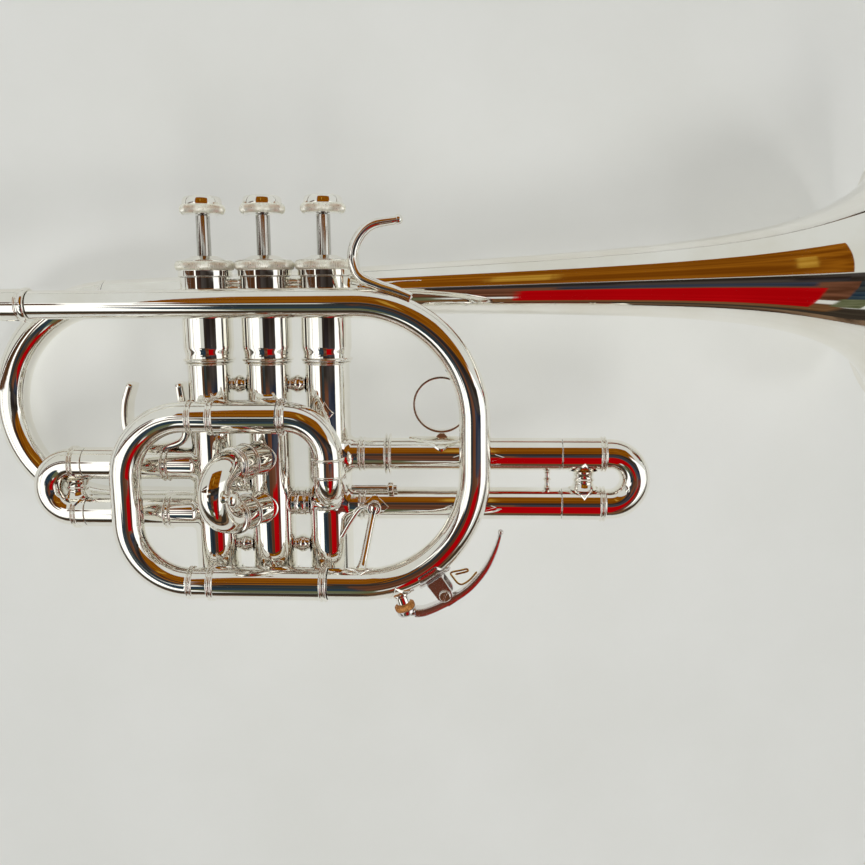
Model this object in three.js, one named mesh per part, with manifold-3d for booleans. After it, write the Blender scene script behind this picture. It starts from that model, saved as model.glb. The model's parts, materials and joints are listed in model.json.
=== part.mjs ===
// A long-model B flat cornet in silver plate, lying on its left side as it is put down on a table.
// Every soldered, sliding, turning and sprung piece is a solid of its own.
import * as THREE from 'three';
import { mergeVertices } from 'three/addons/utils/BufferGeometryUtils.js';
import Module from 'manifold-3d';

const wasm = await Module();
wasm.setup();

// ---------------------------------------------------------------------------
// Driving dimensions, in millimetres and degrees.
// Instrument frame: X runs to the bell, Y up the valves to the buttons, and Z out of the
// side that carries the leadpipe and the tuning slide. The origin is on valve 2's axis.
// ---------------------------------------------------------------------------
const GAP = 0.3;                      // room left where two pieces touch

const VALVE_PITCH = 25.4;
const VALVE_TRAVEL = 16.5;
const LOWER_CASING_RADIUS = 9.5;
const UPPER_CASING_RADIUS = 10.65;
const PISTON_RADIUS = 8.3;
const PISTON_CLEARANCE = 0.1;
const CASING_TOP = 70.2;
const CASING_BOTTOM = -64;
const CASING_LEDGE = 31;              // the step that carries the valve guide
const BARREL_TOP = 68.3;              // top of the piston's spring barrel at rest
const PORT_RADIUS = 5.2;
const CASING_BRACE_HEIGHTS = [21.2, -49.5];

const TUBE_RADIUS = 6.45;             // outside of the sliding inner legs and the bows
const TUBE_BORE = 5.95;
const SLEEVE_RADIUS = 7;              // outside of the fixed outer sleeves
const SLEEVE_BORE = 6.55;
const LEG_SPACING = 21.7;             // between the two legs of a valve slide

const FIRST_SLIDE_Y = -13.7;          // heights of the slides' upper legs and of the other ports
const SECOND_SLIDE_Y = -9.6;
const THIRD_SLIDE_Y = -9.3;
const INLET_Y = -24;
const OUTLET_Y = FIRST_SLIDE_Y - LEG_SPACING + 1.1;
const KNUCKLE_12_Y = -20.5;
const KNUCKLE_23_Y = -30.5;
const SECOND_SLIDE_TURN = 65;         // the second slide leans this far out of the mouthpiece's direction
const SLIDES = {                      // distances from the valve's own axis
  first: { top: FIRST_SLIDE_Y, joint: 57.4, bow: 64.3, legEnd: 30 },
  second: { top: SECOND_SLIDE_Y, joint: 18, bow: 27, legEnd: 10.6 },
  third: { top: THIRD_SLIDE_Y, joint: 99.9, bow: 120.6, legEnd: 58 },
};

const FRONT_PLANE = 19;               // height of leadpipe, big loop and tuning slide over the valves
const LEADPIPE_HEIGHT = 55.9;
const LEADPIPE_START = -92.3;
const RECEIVER_END = -140;
const LOOP_RADIUS = 48.3;
const LOOP_STRAIGHT = 21;
const LOOP_CENTRE_X = 40.2;
const LOOP_LOW_Y = LEADPIPE_HEIGHT - 2 * LOOP_RADIUS - LOOP_STRAIGHT;
const LOOP_LOW_CENTRE_Y = LOOP_LOW_Y + LOOP_RADIUS;
const LOOP_END_X = 26.8;

const TUNING_TOP_Y = 9.7;
const TUNING_CORNER = 26;
const TUNING_BOW_X = -32;             // where the legs turn into the bow
const UPPER_SLEEVE_END = -21.2;
const LOWER_SLEEVE_END = -24.5;
const ELBOW_START = 8;
const ELBOW_X = 28;

const BELL_Z = -23;
const BELL_TAIL = -78;
const BELL_RIM_X = 271;
const BELL_RISE = 0.0236;             // slope of the bell's axis over the leadpipe's
const BELL_AXIS_Y = 59.6;             // height of the bell's axis beside valve 2
const BELL_WALL = 0.9;
const BELL_TAIL_RADIUS = 7.4;
const BELL_TAPER = 0.0159;            // growth of the radius along the bell's cone
const FLARE_POLE = 46;                // the flare's curve would run to infinity this far past the rim
const FLARE_SCALE = 1e5;
const CROOK_END_Z = -15.8;

const KEY_NIPPLE_ANGLE = 18;          // the water key's places round the loop's lower bend
const KEY_PIVOT_ANGLE = 35;
const KEY_PIVOT_RADIUS = LOOP_RADIUS + 14.3;
const NIPPLE_BASE = LOOP_RADIUS + 6.95;
const NIPPLE_TOP = NIPPLE_BASE + 4.2;

const REST_ROLL = 9.6;                // how far the lying instrument turns about X
const REST_PITCH = 6.75;              // and how far its bell end is lifted

const TUBE_SIDES = 12;
const ROUND_SIDES = 14;
const BELL_SIDES = 24;
const TURN_STEP = 22.5;               // degrees of bend between two rings of a bent tube

const X = new THREE.Vector3(1, 0, 0);
const Y = new THREE.Vector3(0, 1, 0);
const Z = new THREE.Vector3(0, 0, 1);
const LEFT = new THREE.Vector3(-1, 0, 0);
const DOWN = new THREE.Vector3(0, -1, 0);

const vec = (x, y, z) => new THREE.Vector3(x, y, z);
const radians = THREE.MathUtils.degToRad;

// ---------------------------------------------------------------------------
// Solids
// ---------------------------------------------------------------------------

// Joins equal vertices, drops triangles with no area and turns the faces outwards.
function weld(geometry) {
  const bare = geometry.clone();
  bare.deleteAttribute('normal');
  bare.deleteAttribute('uv');
  const merged = mergeVertices(bare, 1e-4);
  const place = merged.attributes.position;
  const kept = [];
  let volume = 0;
  const [a, b, c] = [vec(), vec(), vec()];
  for (let i = 0; i < merged.index.count; i += 3) {
    const corner = [0, 1, 2].map((k) => merged.index.getX(i + k));
    if (new Set(corner).size < 3) continue;
    kept.push(corner);
    a.fromBufferAttribute(place, corner[0]);
    b.fromBufferAttribute(place, corner[1]);
    c.fromBufferAttribute(place, corner[2]);
    volume += a.dot(b.cross(c));
  }
  if (volume < 0) kept.forEach((corner) => corner.reverse());
  merged.setIndex(kept.flat());
  return merged;
}

function toManifold(geometry) {
  const welded = weld(geometry);
  return new wasm.Manifold(new wasm.Mesh({
    numProp: 3,
    vertProperties: welded.attributes.position.array,
    triVerts: new Uint32Array(welded.index.array),
  }));
}

function fromManifold(body) {
  const mesh = body.getMesh();
  const geometry = new THREE.BufferGeometry();
  geometry.setAttribute('position', new THREE.BufferAttribute(mesh.vertProperties, 3));
  geometry.setIndex(new THREE.BufferAttribute(mesh.triVerts, 1));
  return geometry;
}

function join(first, ...others) {
  return fromManifold(others.reduce((body, other) => body.add(toManifold(other)), toManifold(first)));
}

function cut(first, ...tools) {
  return fromManifold(tools.reduce((body, tool) => body.subtract(toManifold(tool)), toManifold(first)));
}

// A turned piece about Y, from [radius, height] points. It closes on itself unless it starts
// and ends on the axis.
function turned(outline, sides = ROUND_SIDES) {
  const points = outline.map(([radius, height]) => new THREE.Vector2(radius, height));
  const onAxis = outline[0][0] === 0 && outline.at(-1)[0] === 0;
  if (!onAxis) points.push(points[0].clone());
  return weld(new THREE.LatheGeometry(points, sides));
}

// Points a piece that was built along Y from `start` towards `end`.
function aim(geometry, start, end) {
  const direction = end.clone().sub(start).normalize();
  geometry.applyQuaternion(new THREE.Quaternion().setFromUnitVectors(Y, direction));
  return geometry.translate(start.x, start.y, start.z);
}

function rod(start, end, radius, sides = 8) {
  const length = start.distanceTo(end);
  return aim(turned([[0, 0], [radius, 0], [radius, length], [0, length]], sides), start, end);
}

function ball(centre, radius) {
  return new THREE.SphereGeometry(radius, 10, 6).translate(centre.x, centre.y, centre.z);
}

// A flat strip that follows a curve in the XY plane.
function strip(centreLine, thickness, width, z, steps = 14) {
  const curve = new THREE.CatmullRomCurve3(centreLine);
  const [left, right] = [[], []];
  for (let i = 0; i <= steps; i += 1) {
    const point = curve.getPoint(i / steps);
    const tangent = curve.getTangent(i / steps);
    const aside = new THREE.Vector2(-tangent.y, tangent.x).setLength(thickness / 2);
    left.push(new THREE.Vector2(point.x + aside.x, point.y + aside.y));
    right.unshift(new THREE.Vector2(point.x - aside.x, point.y - aside.y));
  }
  const shape = new THREE.Shape([...left, ...right]);
  const solid = new THREE.ExtrudeGeometry(shape, { depth: width, bevelEnabled: false });
  return solid.translate(0, 0, z - width / 2);
}

// A flat plate in the XY plane, centred on height z.
function plate(corners, width, z) {
  const shape = new THREE.Shape(corners.map(([x, y]) => new THREE.Vector2(x, y)));
  const solid = new THREE.ExtrudeGeometry(shape, { depth: width, bevelEnabled: false });
  return solid.translate(0, 0, z - width / 2);
}

// ---------------------------------------------------------------------------
// Bent tubes
// ---------------------------------------------------------------------------

// A route of straight runs and round turns that carries a frame along with it.
class Route {
  constructor(start, heading, up = Z) {
    this.legs = [];
    this.length = 0;
    this.end = { point: start.clone(), heading: heading.clone(), up: up.clone() };
  }

  add(leg) {
    this.legs.push({ ...leg, from: this.length, start: this.end });
    this.length += leg.length;
    this.end = this.at(this.length);
    return this;
  }

  run(length) {
    return this.add({ length });
  }

  turn(radius, degrees, towards) {
    const axis = this.end.heading.clone().cross(towards);
    return this.add({ length: radius * radians(degrees), radius, towards, axis });
  }

  at(distance) {
    const leg = this.legs.findLast((one) => one.from <= distance) ?? this.legs[0];
    const { point, heading, up } = leg.start;
    const along = distance - leg.from;
    if (!leg.radius) {
      return { point: point.clone().addScaledVector(heading, along), heading, up };
    }
    const angle = along / leg.radius;
    return {
      point: point.clone()
        .addScaledVector(heading, leg.radius * Math.sin(angle))
        .addScaledVector(leg.towards, leg.radius * (1 - Math.cos(angle))),
      heading: heading.clone().applyAxisAngle(leg.axis, angle),
      up: up.clone().applyAxisAngle(leg.axis, angle),
    };
  }

  // Distances at which a tube needs a ring of its own to follow the bends.
  rings() {
    return this.legs.flatMap((leg) => {
      const count = leg.radius ? Math.ceil(leg.length / leg.radius / radians(TURN_STEP)) : 1;
      return Array.from({ length: count }, (_, i) => leg.from + (leg.length * i) / count);
    });
  }
}

// Adds the route's rings to a list of [distance, radius] points.
function withRings(profile, rings) {
  const points = [profile[0]];
  for (let i = 1; i < profile.length; i += 1) {
    const [from, to] = [profile[i - 1], profile[i]];
    for (const ring of rings) {
      if (ring <= from[0] + 0.01 || ring >= to[0] - 0.01) continue;
      const share = (ring - from[0]) / (to[0] - from[0]);
      points.push([ring, from[1] + share * (to[1] - from[1])]);
    }
    points.push(to);
  }
  return points;
}

// A tube along a route: the outside and the bore are lists of [distance, radius].
function pipe(route, outside, bore, sides = TUBE_SIDES) {
  const rings = route.rings();
  const outer = withRings(outside, rings);
  const inner = withRings(bore, rings).reverse();
  const body = turned([...outer, ...inner].map(([distance, radius]) => [radius, distance]), sides);
  const place = body.attributes.position;
  for (let i = 0; i < place.count; i += 1) {
    const frame = route.at(place.getY(i));
    const side = frame.up.clone().cross(frame.heading);
    const moved = frame.point.clone()
      .addScaledVector(frame.up, place.getX(i))
      .addScaledVector(side, place.getZ(i));
    place.setXYZ(i, moved.x, moved.y, moved.z);
  }
  return weld(body);
}

// A plain tube from one end of a route to the other.
function plainPipe(route, radius, bore, sides = TUBE_SIDES) {
  return pipe(route, [[0, radius], [route.length, radius]], [[0, bore], [route.length, bore]], sides);
}

// A raised bead on a tube's outside, as [distance, radius] points.
function bead(centre, width, radius, base) {
  const half = width / 2;
  return [[centre - half, base], [centre - half, radius], [centre + half, radius], [centre + half, base]];
}

// The clearance cylinder that shapes the end of a tube which meets a valve casing.
function casingSaddle(x = 0) {
  const reach = LOWER_CASING_RADIUS + GAP;
  const tool = turned([[0, CASING_BOTTOM], [reach, CASING_BOTTOM], [reach, CASING_LEDGE], [0, CASING_LEDGE]]);
  return tool.translate(x, 0, 0);
}

// ---------------------------------------------------------------------------
// Materials
// ---------------------------------------------------------------------------
const metal = (color, roughness) => new THREE.MeshStandardMaterial({ color, roughness, metalness: 1 });
const soft = (color, roughness) => new THREE.MeshStandardMaterial({ color, roughness, metalness: 0 });
const silver = () => metal(0xe9e9e6, 0.08);
const monel = () => metal(0xb9b7b0, 0.3);
const springSteel = () => metal(0x9a9a98, 0.35);
const brassWire = () => metal(0xc79a4a, 0.3);
const nylon = () => soft(0xe8e4d8, 0.5);
const felt = () => soft(0xe9e6df, 0.95);
const cork = () => soft(0xb5702c, 0.9);

function piece(name, geometry, material = silver()) {
  const solid = weld(geometry);
  solid.computeVertexNormals();
  const mesh = new THREE.Mesh(solid, material);
  mesh.name = name;
  return mesh;
}

function group(children, place = () => {}) {
  const holder = new THREE.Group();
  holder.add(...children);
  place(holder);
  return holder;
}

// ---------------------------------------------------------------------------
// Valves. Each is built about its own axis. A port is [height, turn]: a turn of 0 faces
// the mouthpiece, 90 the front, 180 the bell and -90 the back.
// ---------------------------------------------------------------------------
const PORTS = [
  [[FIRST_SLIDE_Y, 0], [FIRST_SLIDE_Y - LEG_SPACING, 0], [OUTLET_Y, -90], [KNUCKLE_12_Y, 180]],
  [[SECOND_SLIDE_Y, SECOND_SLIDE_TURN], [SECOND_SLIDE_Y - LEG_SPACING, SECOND_SLIDE_TURN],
    [KNUCKLE_12_Y, 0], [KNUCKLE_23_Y, 180]],
  [[THIRD_SLIDE_Y, 180], [THIRD_SLIDE_Y - LEG_SPACING, 180], [INLET_Y, 90], [KNUCKLE_23_Y, 0]],
];

function casing(ports) {
  const thread = UPPER_CASING_RADIUS - 0.4;
  const bore = PISTON_RADIUS + PISTON_CLEARANCE;
  const upperBore = UPPER_CASING_RADIUS - 1.05;
  const shell = turned([
    [thread, CASING_TOP], [thread, CASING_TOP - 3.6], [UPPER_CASING_RADIUS, CASING_TOP - 3.6],
    [UPPER_CASING_RADIUS, 37], [10.2, 34], [10.9, 32.3], [10.9, 30.7],
    [LOWER_CASING_RADIUS, 30.2], [LOWER_CASING_RADIUS, CASING_BOTTOM],
    [bore, CASING_BOTTOM], [bore, CASING_LEDGE], [upperBore, CASING_LEDGE], [upperBore, CASING_TOP],
  ]);
  const holes = ports.map(([height, turn]) => {
    const hole = rod(vec(0, 0, 0), vec(-UPPER_CASING_RADIUS * 1.5, 0, 0), PORT_RADIUS, 6);
    return hole.rotateY(radians(turn)).translate(0, height, 0);
  });
  return cut(shell, ...holes);
}

// The small hourglass braces that stand between the casings, soldered to the middle one.
function withBraces(middleCasing) {
  const near = LOWER_CASING_RADIUS - 0.4;
  const far = VALVE_PITCH - LOWER_CASING_RADIUS - GAP;
  const braces = CASING_BRACE_HEIGHTS.flatMap((height) => [-1, 1].map((side) => (
    rod(vec(side * near, height, 0), vec(side * far, height, 0), 2.2)
  )));
  return join(middleCasing, ...braces);
}

function topCap() {
  return turned([
    [11.3, 66.9], [11.3, 69.4], [12.4, 69.6], [12.4, 73], [10.6, 73.6], [6.4, 74], [5.6, 75.1],
    [3.3, 75.1], [3.3, 71.8], [UPPER_CASING_RADIUS, 71.3], [UPPER_CASING_RADIUS, 66.9],
  ]);
}

function bottomCap() {
  const bore = LOWER_CASING_RADIUS + GAP;
  return turned([
    [bore, -61.5], [11.3, -61.5], [11.3, -67], [10.2, -68.2], [9, -71.2], [5, -72.2], [2, -72.2],
    [2, -70.6], [bore, -69.6],
  ]);
}

// The piston: three passages bored across a body, with a slotted spring barrel on top of it.
function piston() {
  const inner = PISTON_RADIUS - 1;
  const body = turned([
    [0, -48], [inner, -48], [inner, -52], [PISTON_RADIUS, -52], [PISTON_RADIUS, BARREL_TOP],
    [2.4, BARREL_TOP], [2.4, BARREL_TOP - 1.6], [inner, BARREL_TOP - 1.6], [inner, -6], [0, -6],
  ]);
  const passages = [[-13, 0], [-27, SECOND_SLIDE_TURN], [-41, 0]].map(([height, turn]) => (
    rod(vec(-12, 0, 0), vec(12, 0, 0), PORT_RADIUS, 6).rotateY(radians(turn)).translate(0, height, 0)
  ));
  const slot = new THREE.BoxGeometry(4.4, VALVE_TRAVEL + 4.2, 3 * PISTON_RADIUS);
  slot.translate(0, CASING_LEDGE - 0.5 + slot.parameters.height / 2, 0);
  return cut(body, ...passages, slot);
}

// The guide: a disc in the spring barrel whose two ears rest on the casing's ledge.
function guide() {
  const [bottom, top] = [CASING_LEDGE + GAP, CASING_LEDGE + 2.3];
  const disc = turned([[6.9, bottom], [6.9, top], [2, top], [2, bottom]], 12);
  const ears = new THREE.BoxGeometry(3.6, top - bottom, 2 * (UPPER_CASING_RADIUS - 1.5));
  ears.translate(0, (bottom + top) / 2, 0);
  const hole = rod(vec(0, CASING_LEDGE - 5, 0), vec(0, CASING_LEDGE + 5, 0), 2);
  return cut(join(disc, ears), hole);
}

class Helix extends THREE.Curve {
  constructor(radius, bottom, top, turns) {
    super();
    Object.assign(this, { radius, bottom, top, turns });
  }

  getPoint(share, target = vec()) {
    const angle = 2 * Math.PI * this.turns * share;
    const height = THREE.MathUtils.lerp(this.bottom, this.top, share);
    return target.set(this.radius * Math.cos(angle), height, this.radius * Math.sin(angle));
  }
}

function valveSpring() {
  const wire = new THREE.Shape().absarc(0, 0, 0.45, 0, 2 * Math.PI);
  const turns = 5;
  const path = new Helix(5.4, CASING_LEDGE + 3, BARREL_TOP - 2.4, turns);
  const sweep = { extrudePath: path, steps: turns * 6, curveSegments: 2, bevelEnabled: false };
  return new THREE.ExtrudeGeometry(wire, sweep);
}

function stem() {
  return turned([
    [0, BARREL_TOP - 1.2], [2, BARREL_TOP - 1.2], [2, BARREL_TOP + GAP], [2.95, BARREL_TOP + GAP],
    [2.95, 91.9], [1.8, 91.9], [1.8, 94], [0, 94],
  ], 12);
}

function stemFelt() {
  return turned([[3.1, BARREL_TOP + GAP], [7, BARREL_TOP + GAP], [7, 71.2], [3.1, 71.2]], 12);
}

function button() {
  return turned([
    [0, 94.4], [2.1, 94.4], [2.1, 92.2], [4, 92.2], [8.6, 92.9], [9.35, 93.4], [9.35, 96.2], [8.4, 96.8],
    [8, 98.6], [6.4, 99.6], [0, 100],
  ]);
}

function valve(index) {
  const number = index + 1;
  const shell = casing(PORTS[index]);
  return group([
    piece(`casing_${number}`, number === 2 ? withBraces(shell) : shell),
    piece(`top_cap_${number}`, topCap()),
    piece(`bottom_cap_${number}`, bottomCap()),
    piece(`valve_guide_${number}`, guide(), nylon()),
    piece(`piston_${number}`, piston(), monel()),
    piece(`valve_spring_${number}`, valveSpring(), springSteel()),
    piece(`stem_${number}`, stem()),
    piece(`stem_felt_${number}`, stemFelt(), felt()),
    piece(`finger_button_${number}`, button()),
  ], (holder) => holder.position.setX((index - 1) * VALVE_PITCH));
}

// The short tube that joins two casings.
function knuckle(height, leftValveX) {
  const route = new Route(vec(leftValveX + 5, height, 0), X).run(VALVE_PITCH - 10);
  const tube = plainPipe(route, PORT_RADIUS + 0.8, PORT_RADIUS, TUBE_SIDES);
  return cut(tube, casingSaddle(leftValveX), casingSaddle(leftValveX + VALVE_PITCH));
}

// ---------------------------------------------------------------------------
// Valve slides. Each is built pointing along -X from its valve's axis and then turned
// about that axis. Distances are from the axis.
// ---------------------------------------------------------------------------
function slideSleeve(slide, height) {
  const start = 5;
  const route = new Route(vec(-start, height, 0), LEFT).run(slide.joint - start);
  return cut(plainPipe(route, SLEEVE_RADIUS, SLEEVE_BORE), casingSaddle());
}

// Two legs, the ferrules that close on the sleeves, and the round bow.
function valveSlide({ top, joint, bow, legEnd }) {
  const straight = bow - legEnd;
  const route = new Route(vec(-legEnd, top, 0), LEFT)
    .run(straight)
    .turn(LEG_SPACING / 2, 180, DOWN)
    .run(straight);
  const ferrule = (from, to) => bead((from + to) / 2, to - from, SLEEVE_RADIUS, TUBE_RADIUS);
  const near = joint + GAP - legEnd;
  const outside = [
    [0, TUBE_RADIUS],
    ...ferrule(near, straight - 0.4),
    ...ferrule(route.length - straight + 0.4, route.length - near),
    [route.length, TUBE_RADIUS],
  ];
  return pipe(route, outside, [[0, TUBE_BORE], [route.length, TUBE_BORE]]);
}

// The spool-shaped finger brace across a slide's bow.
function spoolBrace({ top }, distance, offset = 0) {
  const reach = LEG_SPACING / 2 - TUBE_RADIUS + 0.2;
  const spool = turned([
    [0, -reach], [4.8, -reach], [3, 1.6 - reach], [2.7, -1], [3.3, 0], [2.7, 1], [3, reach - 1.6],
    [4.8, reach], [0, reach],
  ], 10);
  return spool.translate(-distance, top - LEG_SPACING / 2, offset);
}

function firstSlide() {
  const { first } = SLIDES;
  const sleeves = ['upper', 'lower'].map((side, i) => (
    piece(`first_slide_sleeve_${side}`, slideSleeve(first, first.top - i * LEG_SPACING))
  ));
  const slide = piece('first_slide', join(valveSlide(first), spoolBrace(first, 62.1)));
  return group([...sleeves, slide], (holder) => holder.position.setX(-VALVE_PITCH));
}

function secondSlide() {
  const { second } = SLIDES;
  const sleeves = ['upper', 'lower'].map((side, i) => (
    piece(`second_slide_sleeve_${side}`, slideSleeve(second, second.top - i * LEG_SPACING))
  ));
  const middle = second.top - LEG_SPACING / 2;
  const tip = second.bow + LEG_SPACING / 2;
  const knob = aim(
    turned([[0, -0.5], [1.6, -0.5], [1.6, 3], [3, 3.6], [3, 5.4], [1.8, 6.2], [0, 6.2]], 8),
    vec(-tip, middle, TUBE_RADIUS - 0.2),
    vec(-tip, middle, 2 * TUBE_RADIUS),
  );
  const slide = piece('second_slide', join(valveSlide(second), knob));
  return group([...sleeves, slide], (holder) => holder.rotation.set(0, radians(SECOND_SLIDE_TURN), 0));
}

// The third slide's two long sleeves are tied together by a post.
function thirdSlide() {
  const { third } = SLIDES;
  const low = third.top - LEG_SPACING;
  const wallMiddle = (SLEEVE_RADIUS + SLEEVE_BORE) / 2;
  const tie = rod(vec(-94, third.top - wallMiddle, 0), vec(-94, low + wallMiddle, 0), 1.2);
  const sleeves = join(slideSleeve(third, third.top), slideSleeve(third, low), tie);
  const slide = join(valveSlide(third), spoolBrace(third, 109.5));
  const parts = [piece('third_slide_sleeves', sleeves), piece('third_slide', slide)];
  return group(parts, (holder) => {
    holder.position.setX(VALVE_PITCH);
    holder.rotation.set(0, Math.PI, 0);
  });
}

// ---------------------------------------------------------------------------
// Mouthpipe, loop, tuning slide and the elbow into valve 3
// ---------------------------------------------------------------------------
function receiver() {
  const length = LEADPIPE_START - RECEIVER_END;
  const route = new Route(vec(RECEIVER_END, LEADPIPE_HEIGHT, FRONT_PLANE), X).run(length - GAP);
  const outside = [
    [0, 6.9], [2.5, 6.9], [3.2, 6.3], [length - 5, 6.6],
    ...bead(length - 2.6, 3, 7.1, 6.6), [length - GAP, 6.2],
  ];
  return pipe(route, outside, [[0, 5.3], [length - 18, 4.7], [length - GAP, 4.7]]);
}

function loopRoute() {
  return new Route(vec(LEADPIPE_START, LEADPIPE_HEIGHT, FRONT_PLANE), X)
    .run(LOOP_CENTRE_X - LEADPIPE_START)
    .turn(LOOP_RADIUS, 90, DOWN)
    .run(LOOP_STRAIGHT)
    .turn(LOOP_RADIUS, 90, LEFT)
    .run(LOOP_CENTRE_X - LOOP_END_X);
}

// A short post between a tube in the front plane and what lies behind it.
function backPost(x, y, front, back, radius = 2) {
  return rod(vec(x, y, front), vec(x, y, back), radius);
}

function leadpipe() {
  const route = loopRoute();
  const bend = LOOP_CENTRE_X - LEADPIPE_START;
  const outside = [[0, 5.85], [bend, 6], [route.length - 60, 6.6], [route.length, 6.6]];
  const bore = [[0, 4.9], [bend, 5.1], [route.length - 60, 5.8], [route.length, TUBE_BORE]];
  const posts = [-VALVE_PITCH, VALVE_PITCH].map((x) => (
    backPost(x, LEADPIPE_HEIGHT, FRONT_PLANE - 5.5, UPPER_CASING_RADIUS + GAP, 2.4)
  ));
  const thirdLegs = [THIRD_SLIDE_Y, THIRD_SLIDE_Y - LEG_SPACING].map((y) => {
    const drop = Math.min(0, y - LOOP_LOW_CENTRE_Y);
    const x = LOOP_CENTRE_X + Math.sqrt(LOOP_RADIUS ** 2 - drop ** 2);
    return backPost(x, y, FRONT_PLANE - 6.1, SLEEVE_RADIUS + GAP, 1.8);
  });
  return join(pipe(route, outside, bore), ...posts, ...thirdLegs);
}

function tuningSleeve(y, from, to, extras) {
  const route = new Route(vec(from, y, FRONT_PLANE), LEFT).run(from - to);
  const outside = [
    [0, SLEEVE_RADIUS],
    ...bead(route.length - 1.6, 2.4, 7.7, SLEEVE_RADIUS),
    [route.length, SLEEVE_RADIUS],
  ];
  return join(pipe(route, outside, [[0, SLEEVE_BORE], [route.length, SLEEVE_BORE]]), ...extras);
}

function upperTuningSleeve() {
  const post = backPost(-VALVE_PITCH + 4, TUNING_TOP_Y, FRONT_PLANE - 6.7, LOWER_CASING_RADIUS + GAP, 1.6);
  return tuningSleeve(TUNING_TOP_Y, ELBOW_START - GAP, UPPER_SLEEVE_END, [post]);
}

function lowerTuningSleeve() {
  const y = LOOP_LOW_Y + 2.5;
  const posts = [-1, 1].map((side) => (
    backPost(side * (VALVE_PITCH - 3), y, FRONT_PLANE - 6.45, LOWER_CASING_RADIUS + GAP, 1.2)
  ));
  return tuningSleeve(LOOP_LOW_Y, 26.5, LOWER_SLEEVE_END, posts);
}

function inletElbow() {
  const corner = 17.5;
  const entry = 9;
  const route = new Route(vec(ELBOW_START, TUNING_TOP_Y, FRONT_PLANE), X)
    .run(ELBOW_X - ELBOW_START - corner)
    .turn(corner, 90, DOWN)
    .run(TUNING_TOP_Y - corner - INLET_Y - entry)
    .turn(entry, 90, Z.clone().negate())
    .run(FRONT_PLANE - entry - 6);
  const outside = [[0, 7.4], [2.6, 7.4], [2.6, 6.2], [route.length, 6.2]];
  return cut(pipe(route, outside, [[0, TUBE_BORE], [route.length, PORT_RADIUS]]), casingSaddle(VALVE_PITCH));
}

function tuningSlide() {
  const legEnd = 0;
  const straight = legEnd - TUNING_BOW_X;
  const drop = TUNING_TOP_Y - LOOP_LOW_Y;
  const route = new Route(vec(legEnd, TUNING_TOP_Y, FRONT_PLANE), LEFT)
    .run(straight)
    .turn(TUNING_CORNER, 90, DOWN)
    .run(drop - 2 * TUNING_CORNER)
    .turn(TUNING_CORNER, 90, X)
    .run(straight);
  const outside = [
    [0, TUBE_RADIUS],
    ...bead(straight, 1.8, 7.2, TUBE_RADIUS),
    ...bead(route.length - straight, 1.8, 7.2, TUBE_RADIUS),
    [route.length, TUBE_RADIUS],
  ];
  return pipe(route, outside, [[0, TUBE_BORE], [route.length, TUBE_BORE]]);
}

// ---------------------------------------------------------------------------
// Bell and bell crook
// ---------------------------------------------------------------------------

// The bell's outside radius: a slow cone and a flare that opens as the rim comes near.
function bellRadius(x) {
  const cone = BELL_TAIL_RADIUS + BELL_TAPER * (x - BELL_TAIL);
  const flare = FLARE_SCALE / (BELL_RIM_X + FLARE_POLE - x) ** 2;
  return cone + flare;
}

function bell() {
  const length = BELL_RIM_X - BELL_TAIL;
  const heading = vec(1, BELL_RISE, 0).normalize();
  const route = new Route(vec(BELL_TAIL, BELL_AXIS_Y + BELL_RISE * BELL_TAIL, BELL_Z), heading).run(length);
  const stations = [0, 0.25, 0.48, 0.66, 0.77, 0.85, 0.905, 0.945, 0.975, 1].map((share) => share * length);
  const wall = (inset) => stations.map((distance) => [distance, bellRadius(BELL_TAIL + distance) - inset]);
  const outside = wall(0);
  const rim = outside.pop()[1];
  outside.push([length - 1.6, rim - 1.5], [length - 1.2, rim], [length, rim]);
  const body = pipe(route, outside, wall(BELL_WALL), BELL_SIDES);
  const posts = [-VALVE_PITCH, VALVE_PITCH].map((x) => (
    backPost(x, BELL_AXIS_Y, BELL_Z + bellRadius(x) - 0.6, -UPPER_CASING_RADIUS - GAP, 2.4)
  ));
  return join(body, ...posts);
}

// The crook: half a circle from the bell's tail down and back to the rear port of valve 1.
function bellCrook() {
  const top = vec(BELL_TAIL - GAP, BELL_AXIS_Y + BELL_RISE * BELL_TAIL, BELL_Z);
  const across = vec(0, OUTLET_Y - top.y, CROOK_END_Z - BELL_Z);
  const radius = across.length() / 2;
  const entry = 11;
  const route = new Route(top, LEFT)
    .turn(radius, 180, across.normalize())
    .run(-VALVE_PITCH - entry - top.x)
    .turn(entry, 90, Z)
    .run(-CROOK_END_Z - entry + 1);
  const bend = Math.PI * radius;
  const outside = [[0, 8.5], [3, 8.5], [3, 8], [bend, 6.5], [route.length, 6.1]];
  const bore = [[0, 7], [bend, 5.7], [route.length, PORT_RADIUS]];
  return cut(pipe(route, outside, bore), casingSaddle(-VALVE_PITCH));
}

// ---------------------------------------------------------------------------
// Finger hook, finger ring, thumb saddle and loop brace
// ---------------------------------------------------------------------------

// A point in the front plane, at a radius and an angle about the centre of one of the loop's bends.
function aroundLoop(radius, degrees, centreY = LOOP_LOW_CENTRE_Y) {
  const side = centreY === LOOP_LOW_CENTRE_Y ? -1 : 1;
  const angle = radians(degrees);
  const [across, along] = [radius * Math.sin(angle), radius * Math.cos(angle)];
  return vec(LOOP_CENTRE_X + across, centreY + side * along, FRONT_PLANE);
}

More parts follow.
